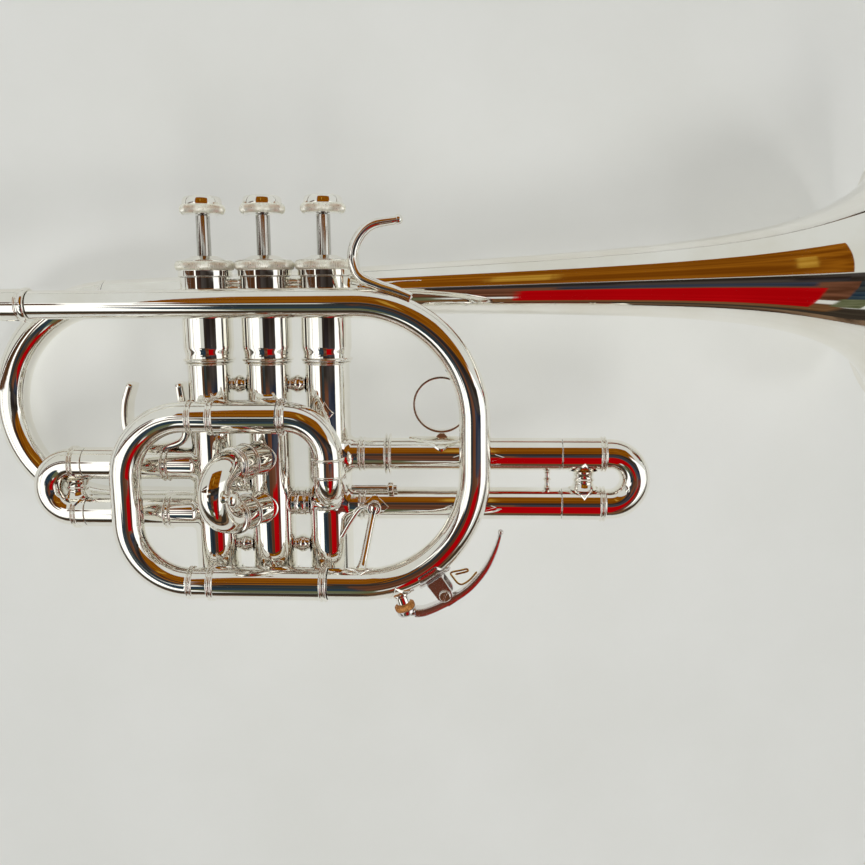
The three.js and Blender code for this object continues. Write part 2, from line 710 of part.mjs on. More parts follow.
function fingerHook() {
  const upperCentreY = LEADPIPE_HEIGHT - LOOP_RADIUS;
  const seat = LOOP_RADIUS + 7.4;
  const line = [
    vec(58, 88, 0), vec(48, 86.2, 0), vec(42.4, 81, 0), vec(40.2, 74, 0), vec(42.4, 66.6, 0),
    aroundLoop(seat + 0.6, 9.5, upperCentreY),
    aroundLoop(seat, 17, upperCentreY),
    aroundLoop(seat, 25, upperCentreY),
  ];
  const tip = ball(vec(58.3, 88.2, FRONT_PLANE), 2);
  return join(strip(line, 1.8, 6.5, FRONT_PLANE, 20), tip);
}

function fingerRing() {
  const centre = vec(74.1, 12.4, 0);
  const [outer, inner, half] = [12.2, 11, 2.4];
  const hoop = turned([[outer, -half], [outer, half], [inner, half], [inner, -half]], 20)
    .rotateX(Math.PI / 2)
    .translate(centre.x, centre.y, centre.z);
  const seat = THIRD_SLIDE_Y + SLEEVE_RADIUS + GAP;
  const neck = centre.y - inner - 0.6;
  const outline = [[61, seat], [79.5, seat], [76, neck], [72, neck], [69, seat + 0.9], [61, seat + 0.5]];
  const foot = plate(outline, 4, 0);
  return join(hoop, foot);
}

function thumbSaddle() {
  const seat = FIRST_SLIDE_Y + SLEEVE_RADIUS + GAP + 1.5;
  const line = [
    vec(-61, 22.2, 0), vec(-64.6, 11, 0), vec(-62.4, 0, 0), vec(-55, seat, 0), vec(-44, seat, 0),
    vec(-37, -1.2, 0), vec(-37.4, 10, 0), vec(-38.6, 22.6, 0),
  ];
  return strip(line, 1.8, 9, 0, 20);
}

function loopBrace() {
  const boss = vec(45.5, THIRD_SLIDE_Y - LEG_SPACING, SLEEVE_RADIUS + 2.8);
  const foot = vec(41, LOOP_LOW_Y + 7.4, FRONT_PLANE - 0.6);
  return join(ball(boss, 2.4), rod(boss, foot, 1.6));
}

// The screwed stop rod between the third slide's sleeves, with its round nut.
function stopRod() {
  const y = THIRD_SLIDE_Y - LEG_SPACING / 2 - 3;
  const rodBody = rod(vec(35.5, y, 5), vec(55, y, 5), 1.2);
  return join(rodBody, rod(vec(51, y, 5), vec(53.6, y, 5), 2.4));
}

// ---------------------------------------------------------------------------
// Water key on the outside of the loop's lower bend. Angles run from straight down.
// ---------------------------------------------------------------------------

// Stands a turned piece on the loop's outside, with its axis pointing away from the bend's centre.
function standOnLoop(geometry, degrees, radius) {
  return aim(geometry, aroundLoop(radius, degrees), aroundLoop(radius + 1, degrees));
}

function waterKeyNipple() {
  const height = NIPPLE_TOP - NIPPLE_BASE;
  const outline = [[2, 0], [3.9, 0], [3.9, 0.8], [3, 1.2], [3, height], [2, height]];
  return standOnLoop(turned(outline, 12), KEY_NIPPLE_ANGLE, NIPPLE_BASE);
}

function waterKeyCork() {
  const outline = [[0, 0], [4.2, 0], [4.2, 2.2], [0, 2.2]];
  return standOnLoop(turned(outline, 12), KEY_NIPPLE_ANGLE, NIPPLE_TOP + 0.1);
}

function waterKeySaddle() {
  const base = [[-4, 0], [4, 0], [4, 1.3], [-4, 1.3]];
  const cheek = [[-3.4, 0.6], [3.4, 0.6], [2.2, 9], [-2.2, 9]];
  const cheekOffset = 3.3 + GAP + 0.6;
  const blank = join(
    plate(base, 9, 0),
    plate(cheek, 1.2, cheekOffset),
    plate(cheek, 1.2, -cheekOffset),
  );
  const height = KEY_PIVOT_RADIUS - NIPPLE_BASE;
  const hole = rod(vec(0, height, -8), vec(0, height, 8), 1.3);
  return standOnLoop(cut(blank, hole), KEY_PIVOT_ANGLE, NIPPLE_BASE);
}

function waterKeyScrew() {
  const pivot = aroundLoop(KEY_PIVOT_RADIUS, KEY_PIVOT_ANGLE);
  const outline = [[0, 6.2], [2.1, 6.2], [2.1, 5.2], [1, 5.2], [1, -5.6], [0, -5.6]];
  return turned(outline, 12).rotateX(Math.PI / 2).translate(pivot.x, pivot.y, pivot.z);
}

function waterKeyLever() {
  const pivot = aroundLoop(KEY_PIVOT_RADIUS, KEY_PIVOT_ANGLE);
  const line = [[65.6, 17], [66.2, 24], [66.8, 34], [67.6, 43], [66.9, 52], [65.4, 60], [64.2, 66.5]]
    .map(([radius, degrees]) => aroundLoop(radius, degrees).setZ(0));
  const arm = strip(line, 2.8, 5, FRONT_PLANE, 12);
  const cupOutline = [[0, 0], [4.2, 0], [4.2, 1.6], [2.4, 3], [0, 3]];
  const cup = standOnLoop(turned(cupOutline, 12), KEY_NIPPLE_ANGLE, NIPPLE_TOP + 2.5);
  const barrel = rod(pivot.clone().setZ(FRONT_PLANE - 3.3), pivot.clone().setZ(FRONT_PLANE + 3.3), 2.3, 10);
  const neck = standOnLoop(new THREE.BoxGeometry(3, 5, 5), KEY_PIVOT_ANGLE, KEY_PIVOT_RADIUS + 2.5);
  const tip = ball(aroundLoop(64.1, 67), 1.5);
  const hole = rod(pivot.clone().setZ(0), pivot.clone().setZ(2 * FRONT_PLANE), 1.3, 10);
  return cut(join(arm, cup, barrel, neck, tip), hole);
}

function waterKeySpring() {
  const bend = [[57, 42], [58.6, 47], [60.6, 50], [62.6, 49], [65.2, 46]];
  const path = new THREE.CatmullRomCurve3(bend.map(([radius, degrees]) => aroundLoop(radius, degrees)));
  const wire = new THREE.Shape().absarc(0, 0, 0.45, 0, 2 * Math.PI);
  const sweep = { extrudePath: path, steps: 8, curveSegments: 3, bevelEnabled: false };
  return new THREE.ExtrudeGeometry(wire, sweep);
}

// ---------------------------------------------------------------------------
// The instrument
// ---------------------------------------------------------------------------
const instrument = group([
  ...[0, 1, 2].map(valve),
  piece('knuckle_1_2', knuckle(KNUCKLE_12_Y, -VALVE_PITCH)),
  piece('knuckle_2_3', knuckle(KNUCKLE_23_Y, 0)),
  firstSlide(),
  secondSlide(),
  thirdSlide(),
  piece('mouthpiece_receiver', receiver()),
  piece('leadpipe_loop', leadpipe()),
  piece('tuning_sleeve_upper', upperTuningSleeve()),
  piece('tuning_sleeve_lower', lowerTuningSleeve()),
  piece('inlet_elbow', inletElbow()),
  piece('tuning_slide', tuningSlide()),
  piece('bell', bell()),
  piece('bell_crook', bellCrook()),
  piece('finger_hook', fingerHook()),
  piece('finger_ring', fingerRing()),
  piece('thumb_saddle', thumbSaddle()),
  piece('loop_brace', loopBrace()),
  piece('stop_rod', stopRod()),
  piece('water_key_nipple', waterKeyNipple()),
  piece('water_key_cork', waterKeyCork(), cork()),
  piece('water_key_saddle', waterKeySaddle()),
  piece('water_key_screw', waterKeyScrew()),
  piece('water_key_lever', waterKeyLever()),
  piece('water_key_spring', waterKeySpring(), brassWire()),
], (holder) => holder.rotation.set(radians(REST_ROLL), -radians(REST_PITCH), 0, 'YXZ'));

// The origin is the middle of the box's underside, on the table.
const cornet = group([instrument]);
const box = new THREE.Box3().setFromObject(cornet, true);
const middle = box.getCenter(vec());
instrument.position.set(-middle.x, -middle.y, -box.min.z);

export default cornet;
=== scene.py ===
"""A silver-plated long-model cornet lying on a pale table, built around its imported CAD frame.

Shapes are made in millimetres in the instrument's own frame: X runs to the bell, Y up the valves to
the buttons, and Z out of the side with the leadpipe. One matrix then puts them where the CAD model lies.
"""

import json
import math

import bmesh
import bpy
from mathutils import Matrix, Vector


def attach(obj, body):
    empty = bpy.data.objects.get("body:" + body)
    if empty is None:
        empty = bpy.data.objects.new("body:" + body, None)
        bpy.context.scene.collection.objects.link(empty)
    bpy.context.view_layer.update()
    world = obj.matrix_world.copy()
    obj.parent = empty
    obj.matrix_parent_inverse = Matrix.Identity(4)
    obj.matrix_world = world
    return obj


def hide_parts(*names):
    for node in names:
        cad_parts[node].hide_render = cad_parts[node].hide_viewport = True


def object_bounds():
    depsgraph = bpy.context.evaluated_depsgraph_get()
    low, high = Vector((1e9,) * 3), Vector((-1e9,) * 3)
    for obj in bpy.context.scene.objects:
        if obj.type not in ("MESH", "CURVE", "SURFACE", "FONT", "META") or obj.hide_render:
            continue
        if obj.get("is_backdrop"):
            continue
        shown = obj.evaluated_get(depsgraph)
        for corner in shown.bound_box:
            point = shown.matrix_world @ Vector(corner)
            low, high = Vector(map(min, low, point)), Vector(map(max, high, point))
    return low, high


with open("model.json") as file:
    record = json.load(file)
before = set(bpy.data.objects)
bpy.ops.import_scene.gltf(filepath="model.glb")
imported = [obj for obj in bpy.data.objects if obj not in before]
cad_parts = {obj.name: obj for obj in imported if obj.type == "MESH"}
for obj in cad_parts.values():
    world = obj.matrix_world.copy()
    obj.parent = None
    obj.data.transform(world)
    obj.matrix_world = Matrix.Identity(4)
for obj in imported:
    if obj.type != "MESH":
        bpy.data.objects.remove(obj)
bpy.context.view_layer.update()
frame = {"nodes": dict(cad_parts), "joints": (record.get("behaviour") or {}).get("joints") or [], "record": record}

# --- Driving dimensions of the instrument, in millimetres and degrees. They are the CAD model's own. ---
MM = 0.001
VALVE_PITCH = 25.4
LOWER_CASING_RADIUS = 9.5
UPPER_CASING_RADIUS = 10.65
CASING_TOP = 70.2
CASING_BOTTOM = -64.0
CASING_BORE = 8.4
CASING_LEDGE = 31.0
GUIDE_BORE = 9.6
COLLAR_RADIUS = 10.25

TUBE_RADIUS = 6.45
TUBE_BORE = 5.95
SLEEVE_RADIUS = 7.0
SLEEVE_BORE = 6.55
PORT_BORE = 5.2
LEG_SPACING = 21.7
FIRST_SLIDE_Y = -13.7
SECOND_SLIDE_Y = -9.6
THIRD_SLIDE_Y = -9.3
SECOND_SLIDE_TURN = 65.0
INLET_Y = -24.0
OUTLET_Y = FIRST_SLIDE_Y - LEG_SPACING + 1.1
KNUCKLE_12_Y = -20.5
KNUCKLE_23_Y = -30.5
CASING_BRACE_HEIGHTS = (21.2, -49.5)
FIRST_SLIDE = {"top": FIRST_SLIDE_Y, "joint": 57.4, "rings": 62.7, "bow": 64.3, "leg_end": 30.0}
SECOND_SLIDE = {"top": SECOND_SLIDE_Y, "joint": 18.0, "rings": 25.4, "bow": 27.0, "leg_end": 10.6}
THIRD_SLIDE = {"top": THIRD_SLIDE_Y, "joint": 99.9, "rings": 117.6, "bow": 120.6, "leg_end": 58.0}

FRONT_PLANE = 19.0
LEADPIPE_HEIGHT = 55.9
LEADPIPE_START = -92.3
RECEIVER_END = -140.0
LOOP_RADIUS = 48.3
LOOP_STRAIGHT = 21.0
LOOP_CENTRE_X = 40.2
LOOP_LOW_Y = LEADPIPE_HEIGHT - 2 * LOOP_RADIUS - LOOP_STRAIGHT
LOOP_LOW_CENTRE_Y = LOOP_LOW_Y + LOOP_RADIUS
LOOP_HIGH_CENTRE_Y = LEADPIPE_HEIGHT - LOOP_RADIUS
LOOP_END_X = 26.8
TUNING_TOP_Y = 9.7
TUNING_CORNER = 26.0
TUNING_BOW_X = -32.0
TUNING_SLEEVE_END = -24.5
TUNING_UPPER_SHIFT = 3.3
ELBOW_START = 8.0
ELBOW_X = 28.0

BELL_Z = -23.0
BELL_TAIL = -78.0
BELL_RIM_X = 271.0
BELL_RISE = 0.0236
BELL_AXIS_Y = 59.6
BELL_WALL = 0.9
BELL_TAIL_RADIUS = 7.4
BELL_TAPER = 0.0159
FLARE_POLE = 46.0
FLARE_SCALE = 1e5
CROOK_END_Z = -15.8

KEY_NIPPLE_ANGLE = 18.0
KEY_PIVOT_ANGLE = 35.0
KEY_PIVOT_RADIUS = LOOP_RADIUS + 14.3
NIPPLE_BASE = LOOP_RADIUS + 6.95
NIPPLE_TOP = NIPPLE_BASE + 4.2

REST_ROLL = 9.6
REST_PITCH = 6.75

# The camera, fitted in the instrument's frame.
CAMERA_TURN = (9.66, -3.0, -0.06)
CAMERA_OFFSET = Vector((-70.1, 0.0, -377.75))
CAMERA_LENS = 36.2

SIDES = 56              # facets round a tube, and round the bell
BELL_SIDES = 128
BEND_STEP = 4.0         # degrees of bend between two rings of a tube
CORNER = 0.22           # millimetres by which a turned edge is rounded
SHARP_EDGE = 38.0       # degrees from which an edge is shaded as a sharp one

X = Vector((1, 0, 0))
Y = Vector((0, 1, 0))
Z = Vector((0, 0, 1))

# --- The instrument's frame, camera and stage ---


def valve_x(number):
    return (number - 2) * VALVE_PITCH


def around_loop(radius, degrees, high=False):
    """A point in the front plane, at a radius and angle about the centre of one of the loop's bends."""
    angle = math.radians(degrees)
    centre_y = LOOP_HIGH_CENTRE_Y if high else LOOP_LOW_CENTRE_Y
    side = 1 if high else -1
    x = LOOP_CENTRE_X + radius * math.sin(angle)
    return Vector((x, centre_y + side * radius * math.cos(angle), FRONT_PLANE))


def instrument_matrix():
    """Instrument millimetres to world metres, placed by the water key's hinge."""
    roll = Matrix.Rotation(math.radians(REST_ROLL), 4, "X")
    turn = Matrix.Rotation(-math.radians(REST_PITCH), 4, "Y") @ roll
    hinge = next(joint for joint in frame["joints"] if joint["name"] == "water_key_open")
    pivot = around_loop(KEY_PIVOT_RADIUS, KEY_PIVOT_ANGLE) * MM
    offset = Vector(hinge["pos_m"]) - turn @ pivot
    return Matrix.Translation(offset) @ turn @ Matrix.Scale(MM, 4)


INSTRUMENT = instrument_matrix()


def add_object(name, data):
    thing = bpy.data.objects.new(name, data)
    bpy.context.scene.collection.objects.link(thing)
    return thing


def make_camera():
    roll, pitch, yaw = (math.radians(angle) for angle in CAMERA_TURN)
    view = Matrix.Rotation(yaw, 4, "Z") @ Matrix.Rotation(pitch, 4, "Y") @ Matrix.Rotation(roll, 4, "X")
    place = INSTRUMENT @ view.transposed() @ Matrix.Translation(-CAMERA_OFFSET)
    data = bpy.data.cameras.new("camera")
    data.lens = CAMERA_LENS
    data.sensor_width = 36.0
    data.clip_start = 0.01
    camera = add_object("camera", data)
    camera.matrix_world = Matrix.LocRotScale(place.to_translation(), place.to_quaternion(), None)
    bpy.context.scene.camera = camera


make_camera()

# --- Shapes: a shape is a (points, faces) pair in millimetres ---


def joined(*shapes):
    points, faces = [], []
    for more_points, more_faces in shapes:
        base = len(points)
        points.extend(more_points)
        faces.extend([[base + corner for corner in face] for face in more_faces])
    return points, faces


def moved(shape, matrix):
    points, faces = shape
    return [matrix @ point for point in points], faces


def ring_faces(rings, count, closed=False):
    """Four-sided faces between neighbouring rings of points, and back to the first ring if closed."""
    faces = []
    for ring in range(rings if closed else rings - 1):
        first, second = ring * count, (ring + 1) % rings * count
        for i in range(count):
            j = (i + 1) % count
            faces.append([first + i, first + j, second + j, second + i])
    return faces


def end_faces(rings, count):
    """The two faces that close a row of rings."""
    return [list(range(count))[::-1], [(rings - 1) * count + i for i in range(count)]]


def softened(outline, closed, radius=CORNER):
    """The outline with its sharp corners rounded. Complex numbers stand for its points meanwhile."""
    corners = [complex(*point) for point in outline]
    result = []
    for i, here in enumerate(corners):
        back, on = corners[i - 1] - here, corners[(i + 1) % len(corners)] - here
        is_end = not closed and i in (0, len(corners) - 1)
        if not is_end and min(abs(back), abs(on)) < 1e-6:
            continue
        if is_end or (back * on.conjugate()).real / (abs(back) * abs(on)) < -0.93:
            result.append(here)
            continue
        reach = min(radius, 0.42 * abs(back), 0.42 * abs(on))
        start, end = here + back / abs(back) * reach, here + on / abs(on) * reach
        for t in (0.0, 0.33, 0.67, 1.0):
            result.append((1 - t) ** 2 * start + 2 * t * (1 - t) * here + t**2 * end)
    return [(point.real, point.imag) for point in result]


class Route:
    """Straight runs and round turns, one after another, with a frame that is carried along."""

    def __init__(self, start, heading, up=Z):
        self.legs = []
        self.length = 0.0
        self.end = (Vector(start), Vector(heading).normalized(), Vector(up))

    def _add(self, length, radius=None, towards=None, axis=None):
        self.legs.append((self.length, length, self.end, radius, towards, axis))
        self.length += length
        self.end = self.at(self.length)
        return self

    def run(self, length):
        return self._add(length)

    def turn(self, radius, degrees, towards):
        axis = self.end[1].cross(towards)
        return self._add(radius * math.radians(degrees), radius, Vector(towards), axis)

    def at(self, distance):
        leg = next((one for one in reversed(self.legs) if one[0] <= distance), self.legs[0])
        start, _, (point, heading, up), radius, towards, axis = leg
        along = distance - start
        if radius is None:
            return point + heading * along, heading, up
        angle = along / radius
        swing = Matrix.Rotation(angle, 3, axis)
        point = point + heading * (radius * math.sin(angle)) + towards * (radius * (1 - math.cos(angle)))
        return point, swing @ heading, swing @ up

    def stops(self):
        """Distances at which the bends need a ring."""
        found = []
        for start, length, _, radius, _, _ in self.legs:
            count = max(1, math.ceil(length / radius / math.radians(BEND_STEP))) if radius else 1
            found.extend(start + length * i / count for i in range(count))
        return found


def with_stops(outline, stops):
    result = [outline[0]]
    for (from_distance, from_radius), (to_distance, to_radius) in zip(outline, outline[1:]):
        low, high = sorted((from_distance, to_distance))
        between = sorted(stop for stop in stops if low + 0.05 < stop < high - 0.05)
        if to_distance < from_distance:
            between.reverse()
        for stop in between:
            share = (stop - from_distance) / (to_distance - from_distance)
            result.append((stop, from_radius + share * (to_radius - from_radius)))
        result.append((to_distance, to_radius))
    return result


def sweep(route, outline, sides=SIDES, closed=True, knurls=()):
    """Turns a list of (distance, radius) round a route. A knurl is (from, to, depth)."""
    outline = softened(outline, closed)
    if closed:
        outline = outline + [outline[0]]
    outline = with_stops(outline, route.stops())
    if closed:
        outline.pop()
    points = []
    for distance, radius in outline:
        point, heading, up = route.at(distance)
        side = up.cross(heading)
        depth = next((deep for low, high, deep in knurls if low < distance < high), 0.0)
        for i in range(sides):
            angle = 2 * math.pi * i / sides
            reach = radius - depth * (i % 2)
            points.append(point + up * (reach * math.cos(angle)) + side * (reach * math.sin(angle)))
    return points, ring_faces(len(outline), sides, closed)


def turned(outline, start=(0, 0, 0), axis=Y, sides=SIDES, knurls=()):
    """A turned piece from (radius, height) points. It is closed unless it starts and ends on the axis."""
    start, axis = Vector(start), Vector(axis).normalized()
    low = min(height for _, height in outline)
    high = max(height for _, height in outline)
    up = X if abs(axis.x) < 0.9 else Z
    up = (up - axis * up.dot(axis)).normalized()
    route = Route(start + axis * low, axis, up).run(high - low)
    on_axis = outline[0][0] == 0 and outline[-1][0] == 0
    shifted = [(height - low, radius) for radius, height in outline]
    knurled = [(first - low, last - low, depth) for first, last, depth in knurls]
    return sweep(route, shifted, sides, not on_axis, knurled)


def pipe(route, outside, bore):
    return sweep(route, list(outside) + list(reversed(bore)))


def bead(centre, width, radius, base):
    """A rounded ring on a tube's outside."""
    angles = [math.pi * i / 8 for i in range(9)]
    return [(centre - width / 2 * math.cos(a), base + (radius - base) * math.sin(a)) for a in angles]


def rod(start, end, radius):
    start, end = Vector(start), Vector(end)
    length = (end - start).length
    return turned([(0, 0), (radius, 0), (radius, length), (0, length)], start, end - start, 24)


def ball(centre, radius):
    angles = [math.pi * i / 14 for i in range(15)]
    outline = [(radius * math.sin(a), -radius * math.cos(a)) for a in angles]
    outline[0], outline[-1] = (0, -radius), (0, radius)
    return turned(outline, centre, Z, 32)


def baluster(start, end, waist, foot, ring=0.0, ring_width=0.07, flare_power=5):
    """A slim post with flared feet and an optional ring round its middle."""
    start, end = Vector(start), Vector(end)
    length = (end - start).length
    steps = 40
    outline = [(0, 0)]
    for i in range(steps + 1):
        share = i / steps
        flare = abs(2 * share - 1) ** flare_power
        swell = math.exp(-(((share - 0.5) / ring_width) ** 2))
        radius = waist + (foot - waist) * flare + max(0.0, ring - waist) * swell
        outline.append((radius, share * length))
    outline.append((0, length))
    return turned(outline, start, end - start, 32)


def post(x, y, front, back, waist, foot):
    """A baluster along Z."""
    return baluster((x, y, front), (x, y, back), waist, foot)


def smooth_line(points, steps):
    """Evenly spaced points on a Catmull-Rom curve."""
    points = [Vector(point) for point in points]
    ends = [2 * points[0] - points[1]] + points + [2 * points[-1] - points[-2]]
    spans = len(points) - 1
    result = []
    for i in range(steps + 1):
        place = min(i / steps * spans, spans - 1e-9)
        k, t = int(place), place - int(place)
        a, b, c, d = ends[k : k + 4]
        result.append(0.5 * (
            2 * b + (c - a) * t + (2 * a - 5 * b + 4 * c - d) * t**2 + (3 * b - a - 3 * c + d) * t**3
        ))
    return result


def ribbon(line, thickness, width, steps=72, sides=28, squareness=4.0):
    """A strip along a curve with rounded ends, its width along Z.

    Thickness and width are numbers or functions of the share of its length.
    """
    spine = smooth_line(line, steps)
    thick = thickness if callable(thickness) else lambda share: thickness
    wide = width if callable(width) else lambda share: width
    points = []
    for i, point in enumerate(spine):
        share = i / steps
        ahead, behind = spine[min(i + 1, steps)], spine[max(i - 1, 0)]
        tangent = (ahead - behind).normalized()
        normal = Z.cross(tangent).normalized()
        side = tangent.cross(normal).normalized()
        end = min(share, 1 - share) * steps
        size = max(math.sqrt(1 - (1 - min(end, 1.5) / 1.5) ** 2), 0.02)
        for k in range(sides):
            angle = 2 * math.pi * k / sides
            c, s = math.cos(angle), math.sin(angle)
            u = math.copysign(abs(c) ** (2 / squareness), c) * thick(share) / 2
            v = math.copysign(abs(s) ** (2 / squareness), s) * wide(share) / 2
            points.append(point + normal * (u * size) + side * (v * size))
    return points, ring_faces(steps + 1, sides) + end_faces(steps + 1, sides)


def wire(line, radius, steps=60):
    return ribbon(line, 2 * radius, 2 * radius, steps, 14, squareness=2.0)


def saddle_plate(centre, along, outward, tube_radius, outline, thickness=0.7):
    """A thin plate that lies round a tube. Its outline is (along the tube, round the tube) points."""
    centre, along, outward = Vector(centre), Vector(along).normalized(), Vector(outward).normalized()
    across = outward.cross(along)
    edge = []
    for (u0, v0), (u1, v1) in zip(outline, outline[1:] + outline[:1]):
        edge.extend((u0 + (u1 - u0) * k / 6, v0 + (v1 - v0) * k / 6) for k in range(6))
    middle_u = sum(u for u, _ in outline) / len(outline)
    middle_v = sum(v for _, v in outline) / len(outline)

    def place(u, v, rise):
        angle = v / tube_radius
        reach = tube_radius + rise
        return centre + along * u + outward * (reach * math.cos(angle)) + across * (reach * math.sin(angle))

    top = [(0.0, 1.0), (0.35, 1.0), (0.7, 1.0), (0.93, 0.9), (1.0, 0.45)]
    shells = [(share, thickness * rise) for share, rise in top] + [(1.0, -0.3), (0.5, -0.3), (0.0, -0.3)]
    points = []
    for share, rise in shells:
        for u, v in edge:
            points.append(place(middle_u + (u - middle_u) * share, middle_v + (v - middle_v) * share, rise))
    return points, ring_faces(len(shells), len(edge))


def diamond(length, width, bow=0.12):
    """The pointed outline of a brace's foot, its sides drawn in a little."""
    corners = [(length / 2, 0), (0, width / 2), (-length / 2, 0), (0, -width / 2)]
    result = []
    for (u0, v0), (u1, v1) in zip(corners, corners[1:] + corners[:1]):
        result.append((u0, v0))
        result.append(((u0 + u1) / 2 * (1 - bow), (v0 + v1) / 2 * (1 - bow)))
    return result


def solder_collar(tube_radius, height, turn=0.0, x=0.0, flare=2.0):
    """The flared foot of a tube that meets a valve casing at a height; turn 0 faces the mouthpiece."""
    sides, steps = 64, 8
    angles = [math.pi / 2 * k / steps for k in range(steps + 1)]
    rings = [(tube_radius + flare * (1 - math.sin(a)), flare * (1 - math.cos(a))) for a in angles]
    rings += [(tube_radius - 0.6, flare), (tube_radius - 0.6, -0.4)]
    points = []
    for radius, rise in rings:
        for i in range(sides):
            around = 2 * math.pi * i / sides
            z = radius * math.cos(around)
            reach = math.sqrt(max(LOWER_CASING_RADIUS**2 - z**2, 0.5))
            points.append(Vector((-(reach + rise), radius * math.sin(around), z)))
    place = Matrix.Translation((x, height, 0)) @ Matrix.Rotation(math.radians(turn), 4, "Y")
    return moved((points, ring_faces(len(rings), sides, closed=True)), place)


def plate(corners, z, thickness):
    """A flat plate with softened edges, from corners in its own XY plane."""
    outline = softened([tuple(corner) for corner in corners], True, 0.6)
    count = len(outline)
    middle = (sum(x for x, _ in outline) / count, sum(y for _, y in outline) / count)
    half = thickness / 2
    levels = ((-half, 0.25), (-half + 0.2, 0.0), (half - 0.2, 0.0), (half, 0.25))
    points = []
    for height, inset in levels:
        for x, y in outline:
            away = Vector((x - middle[0], y - middle[1]))
            shrink = 1 - inset / max(away.length, 0.5)
            points.append(Vector((middle[0] + away.x * shrink, middle[1] + away.y * shrink, z + height)))
    return points, ring_faces(len(levels), count) + end_faces(len(levels), count)


# --- Materials ---


def add_node(tree, kind, inputs, **settings):
    """Adds a node. An input is a value, or an output of another node that is then linked to it."""
    node = tree.nodes.new(kind)
    for name, value in settings.items():
        setattr(node, name, value)
    for name, value in inputs.items():
        if isinstance(value, bpy.types.NodeSocket):
            tree.links.new(value, node.inputs[name])
        else:
            node.inputs[name].default_value = value
    return node


class Nodes:
    """A material's node tree with short calls for the nodes that all the materials here share."""

    def __init__(self, name):
        self.material = bpy.data.materials.new(name)
        self.material.use_nodes = True
        self.tree = self.material.node_tree
        self.shader = self.tree.nodes["Principled BSDF"]
        self.where = self.add("ShaderNodeTexCoord", {}).outputs["Object"]

    def add(self, kind, inputs, **settings):
        return add_node(self.tree, kind, inputs, **settings)

    def noise(self, scale, detail=4.0, roughness=0.55, stretch=None):
        where = self.where
        if stretch:
            where = self.add("ShaderNodeMapping", {"Vector": where, "Scale": stretch}).outputs["Vector"]
        inputs = {"Vector": where, "Scale": scale, "Detail": detail, "Roughness": roughness}
        return self.add("ShaderNodeTexNoise", inputs).outputs["Fac"]

    def ramp(self, source, stops):
        """Maps 0 to 1 on colours, or on greys where a stop gives one number."""
        node = self.add("ShaderNodeValToRGB", {"Fac": source})
        elements = node.color_ramp.elements
        while len(elements) < len(stops):
            elements.new(0.5)
        for element, (place, colour) in zip(elements, stops):
            element.position = place
            element.color = (*colour, 1.0) if isinstance(colour, tuple) else (colour, colour, colour, 1.0)
        return node.outputs["Color"]

    def bump(self, source, strength, distance):
        node = self.add("ShaderNodeBump", {"Height": source, "Strength": strength, "Distance": distance})
        self.link(node.outputs["Normal"], "Normal")

    def set(self, **values):
        for name, value in values.items():
            self.shader.inputs[name.replace("_", " ")].default_value = value
        return self

    def link(self, source, name):
        self.tree.links.new(source, self.shader.inputs[name])

    def drive(self, name, source, *stops):
        """Sets a shader input from a pattern through a ramp."""
        self.link(self.ramp(source, stops), name)


def silver_material(name, dull=0.0, tarnished=(0.89, 0.865, 0.79), clean=(0.955, 0.945, 0.90)):
    """Polished plate: nearly a mirror, with faint haze, hand-polishing ripples and a warm tarnish."""
    nodes = Nodes(name).set(Metallic=1.0)
    nodes.drive("Base Color", nodes.noise(34.0, 5.0), (0.34, tarnished), (0.62, clean))
    nodes.drive("Roughness", nodes.noise(55.0, 6.0, 0.62), (0.45, 0.022 + dull), (0.74, 0.085 + dull))
    nodes.bump(nodes.noise(160.0, 2.0, 0.4), 0.10, 0.00012)
    return nodes.material


def knurled_material():
    nodes = Nodes("knurled silver").set(Metallic=0.82)
    tint = nodes.noise(900.0, 3.0)
    nodes.drive("Base Color", tint, (0.35, (0.84, 0.82, 0.70)), (0.6, (0.98, 0.97, 0.88)))
    nodes.drive("Roughness", nodes.noise(1400.0, 2.0), (0.3, 0.26), (0.7, 0.36))
    nodes.bump(nodes.noise(2600.0, 2.0), 0.15, 0.0001)
    return nodes.material


def lapped_metal(name, dark, light, rough):
    nodes = Nodes(name).set(Metallic=1.0)
    streaks = nodes.noise(300.0, 4.0, 0.6, (1.0, 12.0, 1.0))
    nodes.drive("Base Color", streaks, (0.35, dark), (0.65, light))
    nodes.drive("Roughness", nodes.noise(900.0), (0.3, rough * 0.75), (0.7, rough * 1.25))
    nodes.bump(streaks, 0.2, 0.0001)
    return nodes.material


def cork_material():
    nodes = Nodes("cork")
    grain = nodes.noise(900.0, 6.0, 0.7)
    browns = [(0.36, (0.17, 0.055, 0.012)), (0.52, (0.48, 0.20, 0.05)), (0.7, (0.66, 0.33, 0.11))]
    nodes.drive("Base Color", grain, *browns)
    nodes.drive("Roughness", grain, (0.3, 0.95), (0.7, 0.75))
    nodes.bump(grain, 0.8, 0.0004)
    return nodes.material


def felt_material():
    nodes = Nodes("felt").set(Roughness=0.95, Sheen_Weight=0.4)
    fibres = nodes.noise(2200.0, 5.0, 0.75)
    nodes.drive("Base Color", fibres, (0.35, (0.70, 0.68, 0.62)), (0.65, (0.86, 0.85, 0.80)))
    nodes.bump(fibres, 0.7, 0.0003)
    return nodes.material


def nylon_material():
    nodes = Nodes("nylon").set(Subsurface_Weight=0.1)
    cloud = nodes.noise(120.0, 3.0)
    nodes.drive("Base Color", cloud, (0.35, (0.78, 0.75, 0.68)), (0.65, (0.86, 0.84, 0.78)))
    nodes.drive("Roughness", cloud, (0.3, 0.42), (0.7, 0.52))
    nodes.bump(nodes.noise(1500.0), 0.15, 0.0001)
    return nodes.material


